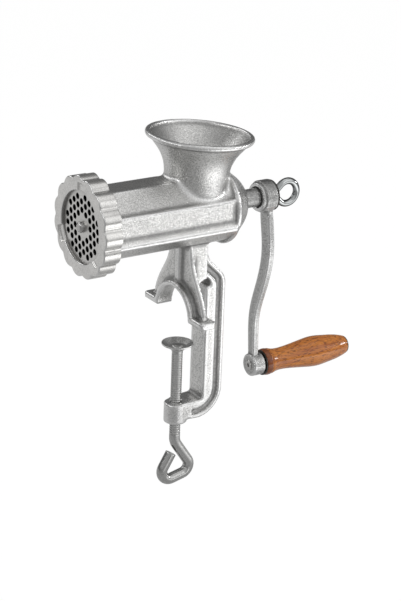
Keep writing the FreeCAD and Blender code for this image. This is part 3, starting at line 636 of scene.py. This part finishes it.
def neckFillet(points, edges):
    # Blended by exp(-(a^2 + b^2) / 2r^2), a and b the distances to the hopper's neck and the barrel's skin.
    # The same weight is the painted highlight along the fillet.
    tilt = math.radians(casting["neckTilt"])
    along = np.array([0.0, math.sin(tilt), math.cos(tilt)])
    local = points - np.array(casting["neckPivot"])
    toNeck = np.linalg.norm(local - np.outer(local @ along, along), axis=1) - casting["neckRadius"]
    side, height = np.abs(points[:, 0] - barrelLine[0]), points[:, 2] - barrelLine[2]
    facet = (side + height) / math.sqrt(2) - casting["facetReach"]
    toBarrel = np.maximum(np.maximum(height - casting["barrelTop"], side - casting["panelSide"]), facet)
    weight = np.exp(-(toNeck ** 2 + toBarrel ** 2) / (2 * casting["filletReach"] ** 2))
    weight = np.where((toNeck > -casting["neckInside"]) & (height > 0), weight, 0)
    return blended(points, edges, weight, casting["filletRounds"]), weight


def fitCasting(points, edges):
    # The neck's fillet with a painted highlight along it, the bores, the collar cut to its thread's root,
    # and the rod's hole.
    points, polish = neckFillet(points, edges)
    middle = barrelLine[::2]
    for part in ("seat", "chamber", "bore", "bushBore"):
        points = fitRound(points, 1, middle, *casting[part])
    points = fitRound(points, 1, middle, *casting["collar"], casting["collarRoot"])
    return fitRound(points, 2, (0.0, 0.0), *casting["rodHole"]), polish


worm = lengths(voxel=0.8, ridgeReach=0.2, shaft=(7.5, 27.0, 71.0), flight=(22.9, -80.0, 25.0), dullFrom=45.0)
halfWay = 0.5  # how far the worm's shaft and parts of the crank are pulled towards painted shade or a painted highlight


def fitWorm(points, edges):
    # The shaft and the flight's crest on their radii; the shaft gets painted shade from inside the bush to
    # its end.
    for part in ("shaft", "flight"):
        points = fitRound(points, 1, barrelLine[::2], *worm[part])
    return points, np.where(points[:, 1] > worm["dullFrom"], -halfWay, 0)


crank = lengths(  # its heights are from the hub's axis
    voxel=0.6, ridgeReach=0.15, hubRadius=13.1,
    filletReach=2.5, filletBelow=-7.0, filletInside=1.5, filletFrom=72.6, filletRounds=20,
    # painted shade round the hub's back, on its rim above the arm, and in the gap round the axle
    grimeFrom=82.3, grimeRamp=0.4, grimeBand=(-1.2, 0.5), dullBand=0.6, dullAbove=-5.0,
    gapReach=0.8, gapBack=76.0,
)


def hubFillet(points, edges):
    # Where the arm leaves the hub: blended, and given a painted highlight, by exp(-a^2 / 2r^2), a the
    # distance to the rim.
    # Painted shade lies round the hub's back, on the rim above the arm, and in the gap round the axle.
    toRim = fromLine(points, barrelLine) - crank["hubRadius"]
    height = points[:, 2] - barrelLine[2]
    weight = np.exp(-toRim ** 2 / (2 * crank["filletReach"] ** 2))
    arm = (height < crank["filletBelow"]) & (toRim > -crank["filletInside"])
    weight = np.where(arm & (points[:, 1] > crank["filletFrom"]), weight, 0)
    points = blended(points, edges, weight, crank["filletRounds"])
    # Painted shade round the hub's back, on the rim above the arm and in the gap round the axle; the
    # fillet's weight is a painted highlight.
    low, high = crank["grimeBand"]
    grime = np.clip((points[:, 1] - crank["grimeFrom"]) / crank["grimeRamp"], 0, 1)
    grime = grime * ((toRim > low) & (toRim < high))
    dull = halfWay * ((np.abs(toRim) < crank["dullBand"]) & (height > crank["dullAbove"]))
    low, high = nodeBox("grip_axle")
    fromAxle = fromLine(points, gripLine) - (high[0] - low[0]) / 2
    gap = (fromAxle < crank["gapReach"]) & (points[:, 1] < crank["gapBack"])
    return points, halfWay * weight - np.maximum(np.maximum(grime, dull), gap)


castPiece("cast_body", "grinder_casting", "frame", "castAluminium", casting, fitCasting)
castPiece("cast_crank", "crank_arm", "drive", "crankAluminium", crank, hubFillet)
# The worm takes the crank's darker tone: painted shade on its shaft between the bush and the hub.
castPiece("worm", "feed_screw", "drive", "crankAluminium", worm, fitWorm)


# Threads, cut in from the crest radius

thread = {"flat": 0.15, "flank": 0.65}  # shares of half a pitch


def threadCut(turns, depth):
    # depth * clip((w - flat) / flank, 0, 1), with w the triangle wave |2 (turns mod 1) - 1|.
    wave = np.abs((turns % 1) * 2 - 1)
    return depth * np.clip((wave - thread["flat"]) / thread["flank"], 0, 1)


def fadeEnds(station, low, high, reach):
    # 1 between low and high, falling to 0 within the reach of either end.
    return np.clip(np.minimum(station - low, high - station) / reach, 0, 1)


# Thread of the mouth, a sleeve on the casting's collar

collar = lengths(inner=31.6, crest=34.2, front=-87.6, back=-79.2, chamfer=0.8,
                 pitch=3.0, depth=1.1, fade=1.0, step=0.2, steps=120)


def collarThread():
    # r = crest - cut(y / pitch - a / 2 pi), with the crest chamfered at the front.
    angle = fullTurn(collar["steps"])
    front, back, crest = collar["front"], collar["back"], collar["crest"]
    station = np.arange(front, back, collar["step"])[None, :]
    turns = station / collar["pitch"] - angle / (2 * math.pi)
    cut = threadCut(turns, collar["depth"]) * fadeEnds(station, front, back, collar["fade"])
    lead = np.clip(collar["chamfer"] - (station - front), 0, None)
    radius = np.minimum(crest - cut, crest - lead)
    inner = np.full_like(angle, collar["inner"])
    radius = np.hstack([inner, radius, inner])
    station = np.hstack([station[:, :1], station, station[:, -1:]])
    points = turned(angle, radius, station, barrelLine)
    makePiece("collar_thread", [(points, "both")], "frame", "nutAluminium")


collarThread()


# Ring nut

nut = lengths(
    front=-91.3, back=-76.4, seat=-88.6, mouth=28.5, bore=34.25,
    crest=40.2, hollow=37.9, lugRadius=10.0, lugs=15, frontEdge=1.1, backEdge=0.6, mouthEdge=0.8,
    boreEdge=1.2, pockets=3, pocketTurn=85, pocketHalf=6.25, pocketOuter=34.5, pocketDepth=1.4, slope=0.8,
    pitch=3.0, threadDepth=1.1, threadEnds=0.3, threadStep=0.25, fadeFrom=2.0, fade=1.5,
    stepsPerLug=32, edgeSteps=5, faceSteps=44, sideSteps=10,
    # the painted highlight on the face's rim and the mouth's edge, and the painted shade on the mouth's wall
    worn=(0.02, 0.88), wornFrom=1.5, wallReach=0.05, seatReach=0.01,
)


def waveRadius(angle):
    # Lug arcs about points inside, R from the lug's centre, tangent to hollow arcs about points outside.
    half, lugRadius, dip = math.pi / nut["lugs"], nut["lugRadius"], nut["hollow"]
    lugCentre = nut["crest"] - lugRadius
    inset = lugCentre * math.cos(half)
    gap = lugCentre ** 2 + dip ** 2 - 2 * dip * inset
    small = (lugRadius ** 2 - gap) / (2 * (dip - inset - lugRadius))
    outer = dip + small
    share = lugRadius / (lugRadius + small)
    middle = outer * share
    joint = math.atan2(middle * math.sin(half), lugCentre * (1 - share) + middle * math.cos(half))
    fromLug = np.abs((angle + half) % (2 * half) - half)
    toHollow = half - fromLug
    lug = lugCentre * np.cos(fromLug) + np.sqrt(lugRadius ** 2 - (lugCentre * np.sin(fromLug)) ** 2)
    arc = np.sqrt(np.clip(small ** 2 - (outer * np.sin(toHollow)) ** 2, 0, None))
    return np.where(fromLug < joint, lug, outer * np.cos(toHollow) - arc)


def pocketSink(radius, angle):
    # Depth of the pockets: a smooth step of the distance in from the nearer of the side and outer walls.
    sink = np.zeros(np.broadcast(radius, angle).shape)
    for i in range(nut["pockets"]):
        turn = angle - math.radians(nut["pocketTurn"] + 360 / nut["pockets"] * i)
        along, across = radius * np.cos(turn), np.abs(radius * np.sin(turn))
        inside = np.minimum(nut["pocketHalf"] - across, nut["pocketOuter"] - radius)
        t = np.clip(inside / (2 * nut["slope"]) + 0.5, 0, 1)
        sink = np.maximum(sink, np.where(along > 0, t * t * (3 - 2 * t), 0))
    return nut["pocketDepth"] * sink


def nutRows():
    # (radius, station) across one section at each angle: lip, mouth, face with pockets, side, back and bore.
    angle = fullTurn(nut["lugs"] * nut["stepsPerLug"])
    outline = waveRadius(angle)
    arc = list(zip(*edgeArc(nut["edgeSteps"])))
    mouth, front, back, seat, bore = (nut[key] for key in ("mouth", "front", "back", "seat", "bore"))
    lip, edge, rear = nut["mouthEdge"], nut["frontEdge"], nut["backEdge"]
    rows = []

    def add(radius, station):
        rows.append([np.broadcast_to(value, angle.shape) for value in (radius, station)])

    add(bore, seat)
    add(mouth, seat)
    inner = mouth + lip
    atMouth = pocketSink(inner, angle)
    for s, c in arc:
        add(mouth + lip * c, front + atMouth + lip * (1 - s))
    for share in np.linspace(0, 1, nut["faceSteps"])[1:]:
        radius = inner + (outline - edge - inner) * share
        add(radius, front + pocketSink(radius, angle))
    for s, c in arc[1:]:
        add(outline - edge * (1 - s), front + edge * c)
    for share in np.linspace(0, 1, nut["sideSteps"])[1:]:
        add(outline, front + edge + (back - rear - front - edge) * share)
    for s, c in arc[1:]:
        add(outline - rear * c, back - rear * (1 - s))
    add(bore + nut["boreEdge"], back)
    for station in np.arange(back - nut["threadEnds"], seat + nut["threadEnds"], -nut["threadStep"]):
        cut = threadCut(station / nut["pitch"] - angle / (2 * math.pi), nut["threadDepth"])
        add(bore + cut * fadeEnds(station, seat, back + nut["fadeFrom"], nut["fade"]), station)
    radius, station = (np.hstack(values) for values in zip(*rows))
    return angle, radius, station


def ringNut():
    # The rows go round the barrel's line. The mouth's wall gets painted shade, its edge and the face's rim a
    # painted highlight.
    points = turned(*nutRows(), barrelLine)
    piece = makePiece("nut", [(points, "both")], "nut", "nutAluminium", ("ring_nut",))
    place, _ = meshArrays(piece.data)
    radius, depth = fromLine(place, barrelLine), place[:, 1] - nut["front"]
    # Painted shade on the mouth's wall, and a painted highlight on the face's rim and the mouth's edge.
    wall = (radius < nut["mouth"] + nut["wallReach"]) & (place[:, 1] < nut["seat"] + nut["seatReach"])
    worn = (depth > nut["worn"][0]) & (depth < nut["worn"][1])
    worn &= (radius > nut["pocketOuter"] + nut["wornFrom"]) | (radius < nut["mouth"] + nut["mouthEdge"])
    keepRidge(piece.data, np.where(wall, -1.0, np.where(worn, 1.0, 0.0)))


ringNut()
print("nut made")


# Pieces swept along a line in the YZ plane

def sweptRings(line, stations, radius, sides, reach=0.3 * mm):
    # Centre + radius (X cos a + N sin a), with N at right angles to the line in its plane. The line's
    # direction is from a point a reach behind to one a reach ahead.
    places = placesAt(line, stations)
    ahead = placesAt(line, stations + reach) - placesAt(line, stations - reach)
    ahead = ahead / np.linalg.norm(ahead, axis=1)[:, None]
    angle = fullTurn(sides).T
    radius = np.broadcast_to(radius, (len(stations), sides))
    x = radius * np.cos(angle)
    y = places[:, :1] + radius * np.sin(angle) * ahead[:, 1:]
    z = places[:, 1:] - radius * np.sin(angle) * ahead[:, :1]
    return np.stack([x, y, z], -1)


rod = lengths(
    path=[(0, -27.25), (0, -112.5), (19.0, -140.5), (-19.0, -149.0), (-3.0, -122.2)],
    bends=[0, 13.0, 7.5, 7.5, 0], arcSteps=24, bentSteps=150, endSkip=1.0, headSeat=-28.85, padUnder=-31.75,
    radius=4.5, pinRadius=3.0, headRadius=4.8, headChamfer=0.3, edge=0.5,
    headPoints=[(0, 0), (0.01, 1.9), (0.12, 2.3), (0.5, 3.84)],
    pitch=2.0, depth=0.32, threadHigh=-33.0, threadLow=-106.0, fade=2.0,
    stepsPerTurn=12, stepGap=0.001, sides=40,
)


def clampRod():
    # One bar: r(s) from head to pin to rod, cut by a right-hand thread, its lower end bent into a loop.
    line = roundedLine(rod["path"], rod["bends"], rod["arcSteps"])
    top, length = line[0, 1], lengthsAlong(line)[-1]
    head, pin, full, edge = rod["headRadius"], rod["pinRadius"], rod["radius"], rod["edge"]
    seat, under = top - rod["headSeat"], top - rod["padUnder"]
    low, high = rod["threadLow"], rod["threadHigh"]
    profile = np.array([*rod["headPoints"], (seat - rod["headChamfer"], head), (seat, head), (seat, pin),
                        (under, pin), (under, full - edge), (under + edge, full),
                        *easedEnd(length, full, edge), (length, 0)])
    profile[1:, 0] = np.maximum(profile[1:, 0], profile[:-1, 0] + rod["stepGap"])
    bent = np.linspace(top - low, length - rod["endSkip"], rod["bentSteps"])
    fine = np.arange(top - high, top - low, rod["pitch"] / rod["stepsPerTurn"])
    stations = np.unique(np.concatenate([profile[:, 0], bent, fine]))
    radius = np.interp(stations, profile[:, 0], profile[:, 1])[:, None]
    turns = stations[:, None] / rod["pitch"] + fullTurn(rod["sides"]).T / (2 * math.pi)
    height = top - stations[:, None]
    cut = threadCut(turns, rod["depth"]) * fadeEnds(height, low, high, rod["fade"])
    radius = np.where((height < high) & (height > low), radius - cut, radius)
    points = sweptRings(line, stations, radius, rod["sides"])
    makePiece("clamp_rod", [(points, "cols")], "screw", "rodSteel", ("clamp_screw",))


clampRod()

pad = lengths(  # its section, from the hole's lower edge out, up over the rim and back in
    outline=[(3.06, -31.6), (6.0, -31.6), (6.0, -30.6), (12.9, -26.92),
             (12.9, -25.8), (12.1, -25.8), (7.0, -29.0), (3.06, -29.0)],
    radii=[0.15, 0.8, 0.8, 0.4, 0.35, 0.3, 1.5, 0.15], step=0.5, steps=96,
)


def clampPad():
    # The section goes round the rod's line along Z.
    profile = roundedProfile(pad["outline"], pad["radii"], pad["step"])
    points = lathe(profile, pad["steps"], (0, 0, 0))[..., [0, 2, 1]]  # Y and Z change places
    makePiece("pad_disc", [(points, "both")], "pad", "padSteel", ("clamp_pad",))


clampPad()

eye = lengths(
    apex=85.65, start=1.5, centre=99.45, ring=9.4, wire=2.8, shankEnd=70.25, shank=3.0,
    collarFront=84.45, collarBack=86.85, collar=4.8, collarEdge=0.6, frontEdge=0.2,
    pitch=1.0, depth=0.45, stepsPerTurn=10, sides=28, steps=48, ringSteps=90,
)


def eyeWire():
    # From the collar along a tangent, round the ring and back along the other tangent.
    lean = math.asin(eye["ring"] / (eye["centre"] - eye["apex"]))
    turn = np.linspace(math.pi / 2 + lean, -math.pi / 2 - lean, eye["ringSteps"])
    ring = np.array([eye["centre"], barrelLine[2]]) + eye["ring"] * np.stack([np.cos(turn), np.sin(turn)], 1)
    foot = np.array([eye["apex"], barrelLine[2]])
    ends = [foot + eye["start"] * (p - foot) / np.linalg.norm(p - foot) for p in (ring[0], ring[-1])]
    line = np.vstack([ends[0], ring, ends[1]])
    stations = np.linspace(0, lengthsAlong(line)[-1], 2 * eye["ringSteps"])
    radius = np.full((len(stations), 1), eye["wire"])
    radius[[0, -1]] = 0
    stations[[0, -1]] = stations[[1, -2]]
    return sweptRings(line, stations, radius, eye["sides"])


def eyeShank():
    # The threaded shank and the collar, turned as one: r = shank - cut(y / pitch - a / 2 pi).
    start, front, back = eye["shankEnd"], eye["collarFront"], eye["collarBack"]
    thin, thick, edge, small = eye["shank"], eye["collar"], eye["collarEdge"], eye["frontEdge"]
    fine = np.arange(start + edge, front, eye["pitch"] / eye["stepsPerTurn"])
    profile = [(start, 0), (start, thin - edge), *((y, thin) for y in fine), (front, thin),
               (front, thick - small), (front + small, thick), *easedEnd(back, thick, edge), (back, 0)]
    station, radius = np.array(profile).T
    angle = fullTurn(eye["steps"])
    cut = threadCut(station / eye["pitch"] - angle / (2 * math.pi), eye["depth"])
    radius = np.where((station > start) & (station < front - edge), radius - cut, radius)
    return turned(angle, np.clip(radius, 0, None), station, barrelLine)


eyeGrids = [(eyeWire(), "cols"), (eyeShank(), "rows")]
makePiece("eye_wire", eyeGrids, "crank_lock_screw", "chromeSteel", ("crank_eye_screw",))


# Wooden grip

grip = lengths(bore=3.08, seat=6.08, seatDepth=1.6, edge=0.6, edgeSteps=4, groove=5.6, grooveDepth=0.7,
               grooveHalf=0.6, capLap=1.1, outlineSkip=0.3, step=0.45, steps=128)


def nodeOutline(node, line, least):
    # The largest radius at each station of a turned node, from its points further out than the least.
    points, _ = meshArrays(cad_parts[node].data)
    radius = fromLine(points, line)
    kept = radius > least
    stations, which = np.unique(np.round(points[kept, 1], 6), return_inverse=True)  # to a micrometre
    largest = np.zeros(len(stations))
    np.maximum.at(largest, which, radius[kept])
    return stations, largest


def woodenGrip():
    # The outline with a small groove behind the flange, r - d exp(-((y - g) / h)^2), its bore and its seat.
    stations, largest = nodeOutline("wooden_grip", gripLine, grip["seat"] + grip["outlineSkip"])
    front, back, edge = stations[0], stations[-1] - grip["capLap"], grip["edge"]
    fine = np.linspace(front + edge, back - edge, int((back - front) / grip["step"]))
    radius = np.interp(fine, stations, largest)
    radius -= grip["grooveDepth"] * np.exp(-((fine - front - grip["groove"]) / grip["grooveHalf"]) ** 2)
    arc = list(zip(*edgeArc(grip["edgeSteps"])))
    first = [(radius[0] - edge * (1 - s), front + edge * c) for s, c in arc]
    last = [(radius[-1] - edge * c, back - edge * (1 - s)) for s, c in arc]
    seat = stations[-1] - grip["seatDepth"]
    hole = [(grip["seat"], back), (grip["seat"], seat), (grip["bore"], seat)]
    profile = np.array([(grip["bore"], front)] + first + list(zip(radius, fine)) + last + hole)
    points = lathe(profile, grip["steps"], gripLine)
    makePiece("grip_wood", [(points, "both")], "grip", "varnishedWood", ("wooden_grip",))


woodenGrip()

cap = lengths(  # its section, with stations from the back
    outline=[(3.0, 0), (3.0, -1.6), (6.0, -1.6), (6.0, -1.0), (7.25, -1.0), (7.25, 0)],
    radii=[0.1] * 4 + [0.15, 0.45], step=0.4, steps=96,
)


def endCap():
    # A disc let into the wood, with a rim that laps over the wood's end.
    outline = np.array(cap["outline"]) + (0, nodeBox("grip_end_cap")[1][1])
    points = lathe(roundedProfile(outline, cap["radii"], cap["step"]), cap["steps"], gripLine)
    makePiece("end_cap", [(points, "both")], "drive", "darkSteel", ("grip_end_cap",))


endCap()
print("rod, pad, eye screw and grip made")


# Nodes that keep their CAD shape, each with its material and the width in mm of its eased edges

keptNodes = {
    "hole_plate": ("plateSteel", 0.15), "knife_stud": ("brightSteel", 0.5),
    "cross_knife": ("knifeSteel", 0.2), "plate_key": ("brightSteel", 0.15),
    "rear_bush": ("bushBrass", 0.15), "grip_axle": ("brightSteel", 0.15),
    "thrust_washer": ("brightSteel", 0.15), "crank_washer": ("darkSteel", 0.15),
    "grip_washer": ("darkSteel", 0.15),
}
easing = {"segments": 2, "angle": 40.0}

for node, (materialName, width) in keptNodes.items():  # the loose triangles are joined before the bevel
    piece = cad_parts[node]
    piece.data.materials.clear()
    piece.data.materials.append(materials[materialName])
    piece.modifiers.new("weld", "WELD").merge_threshold = merging["node"]
    edge = piece.modifiers.new("edge", "BEVEL")
    edge.width = width * mm
    edge.segments = easing["segments"]
    edge.limit_method = "ANGLE"
    edge.angle_limit = math.radians(easing["angle"])
    edge.harden_normals = True
print(len(keptNodes), "CAD nodes finished")


# Floor, light and camera

studio = {
    "floorGap": 46.0 * mm,  # below the object, so that the rod's loop clears it at its lowest
    "floorSize": 30.0,
    "floorLook": {"Base Color": grey(0.8), "Roughness": 0.9, "Specular IOR Level": 0.0},
    "floorSeen": 0.93,  # share of plain white that the camera sees; the rest shows the shadow
    "floorWhite": 1.04,
    "floorSpot": (0.53, 0.38, 0.0),  # a bright place on the floor that only metal mirrors
    "spotLevel": (0.26, 0.62, 1.75, 0.0),
    "floorSide": (-1.0, 0.4, 0.0),  # and a plain ramp along this direction
    "rampLevel": (-0.3, 0.4, 0.34, 0.62),
    "ambient": 0.5,
    "tentSide": (0.85, -0.05, 0.55),
    "tentLevel": (-0.2, 0.9, 0.16, 0.60),
    "bandLevel": (0.0, 0.3, 0.5, 1.0),  # the tent is darker near the horizon
}


def shine(tree, level):
    # White light of that level from all round.
    return put(tree, "Background", {"Color": grey(1.0), "Strength": level}).outputs[0]


def mirroredRays(tree):
    # The Light Path's outputs, and 1 for rays that reach a place by a mirror or through glass.
    path = put(tree, "LightPath").outputs
    return path, maths(tree, "MAXIMUM", path["Is Glossy Ray"], path["Is Transmission Ray"])


def makeFloor():
    # The camera sees white with the object's shadow in it. Metal mirrors the larger of a plain ramp along
    # one direction and a spot that falls off with distance.
    half = studio["floorSize"] / 2
    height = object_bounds()[0].z - studio["floorGap"]
    corners = [(x * half, y * half, height) for x, y in ((-1, -1), (1, -1), (1, 1), (-1, 1))]
    mesh = bpy.data.meshes.new("floor")
    mesh.from_pydata(corners, [], [(0, 1, 2, 3)])
    floor = addObject("floor", mesh)
    material, tree, shader = startMaterial("paleFloor", studio["floorLook"])
    path, mirrored = mirroredRays(tree)
    share = maths(tree, "MAXIMUM", times(tree, path["Is Camera Ray"], studio["floorSeen"]), mirrored)
    place = put(tree, "TexCoord").outputs["Object"]
    flat = put(tree, "VectorMath", {0: place, 1: (1, 1, 0)}, operation="MULTIPLY").outputs[0]
    away, across = (put(tree, "VectorMath", {0: flat, 1: studio[key]}, operation=operation).outputs["Value"]
                    for key, operation in (("floorSpot", "DISTANCE"), ("floorSide", "DOT_PRODUCT")))
    ramp, spot = spread(tree, across, *studio["rampLevel"]), spread(tree, away, *studio["spotLevel"])
    level = maths(tree, "MAXIMUM", ramp, spot)
    strength = put(tree, "Mix", {0: path["Is Camera Ray"], 2: level, 3: studio["floorWhite"]}).outputs[0]
    white = put(tree, "Emission", {"Color": grey(1.0), "Strength": strength})
    mix = put(tree, "MixShader", {0: share, 1: shader.outputs[0], 2: white.outputs[0]})
    output = next(node for node in tree.nodes if node.type == "OUTPUT_MATERIAL")
    tree.links.new(mix.outputs[0], output.inputs[0])
    floor.data.materials.append(material)


def makeWorld():
    # The camera sees a white backdrop. Metal mirrors a tent, brighter with the cosine to its bright side and
    # darker near the horizon. The rest is an even grey.
    world = bpy.data.worlds.new("studio")
    bpy.context.scene.world = world
    world.use_nodes = True
    tree = world.node_tree
    tree.nodes.clear()
    direction = put(tree, "TexCoord").outputs["Generated"]
    side = Vector(studio["tentSide"]).normalized()
    facing = put(tree, "VectorMath", {0: direction, 1: side}, operation="DOT_PRODUCT").outputs["Value"]
    height = put(tree, "SeparateXYZ", {0: direction}).outputs[2]
    band = spread(tree, height, *studio["bandLevel"])
    level = times(tree, spread(tree, facing, *studio["tentLevel"]), band)
    path, mirrored = mirroredRays(tree)
    lit = put(tree, "MixShader", {0: mirrored, 1: shine(tree, studio["ambient"]), 2: shine(tree, level)})
    shown = put(tree, "MixShader", {0: path["Is Camera Ray"], 1: lit.outputs[0], 2: shine(tree, 1.0)})
    put(tree, "OutputWorld", {0: shown.outputs[0]})


lamps = {  # direction from the object, distance, size and power
    "keyRight": ((0.76, 0.55, 0.42), 1.1, (0.9, 0.9), 1.5),
    "leftFront": ((-0.80, -0.36, 0.50), 1.2, (0.5, 0.5), 1.3),
    "topSoft": ((0.15, 0.25, 1.0), 1.2, (0.8, 0.8), 0.9),
    "gripGlint": ((0.33, 0.92, 0.20), 1.1, (0.28, 0.12), 1.4),
    "frontFill": ((-0.15, -0.85, 0.52), 1.2, (1.1, 0.3), 1.8),
}


def makeLamps():
    # Each lamp stands off the object's centre in its direction and faces back along it.
    for name, (direction, distance, size, power) in lamps.items():
        data = bpy.data.lights.new(name, "AREA")
        data.shape = "RECTANGLE"
        data.size, data.size_y = size
        data.energy = power
        towards = Vector(direction).normalized()
        place = (cadLow + cadHigh) / 2 + towards * distance
        turn = (-towards).to_track_quat("-Z", "Y").to_matrix().to_4x4()
        addObject(name, data).matrix_world = Matrix.Translation(place) @ turn


view = {  # the photograph's camera, worked out from the object's edges in it
    "azimuth": 56.51, "elevation": 21.06, "roll": 2.1,
    "focalPixels": 2001.55, "longSidePixels": 601, "sensor": 36.0, "clip": (0.05, 100),
    "offRight": -15.91 * mm, "offUp": 70.16 * mm, "distance": 1554.36 * mm,
    "about": (0.0, -1.7 * mm, 85.5 * mm),
}


def makeCamera():
    # Back points from the object to the camera, and the roll turns its right and up about that.
    a, e, r = (math.radians(view[k]) for k in ("azimuth", "elevation", "roll"))
    back = Vector((math.sin(a) * math.cos(e), -math.cos(a) * math.cos(e), math.sin(e)))
    flat = Vector((math.cos(a), math.sin(a), 0))
    over = back.cross(flat)
    right = flat * math.cos(r) + over * math.sin(r)
    up = over * math.cos(r) - flat * math.sin(r)
    place = Vector(view["about"]) - right * view["offRight"] - up * view["offUp"] + back * view["distance"]
    data = bpy.data.cameras.new("camera")
    data.sensor_width = view["sensor"]
    data.lens = view["focalPixels"] * view["sensor"] / view["longSidePixels"]
    data.clip_start, data.clip_end = view["clip"]
    camera = addObject("camera", data)
    camera.matrix_world = Matrix.Translation(place) @ Matrix((right, up, back)).transposed().to_4x4()
    bpy.context.scene.camera = camera


makeFloor()
makeWorld()
makeLamps()
makeCamera()
bpy.context.scene.view_settings.view_transform = "Standard"
print("floor, light and camera set")
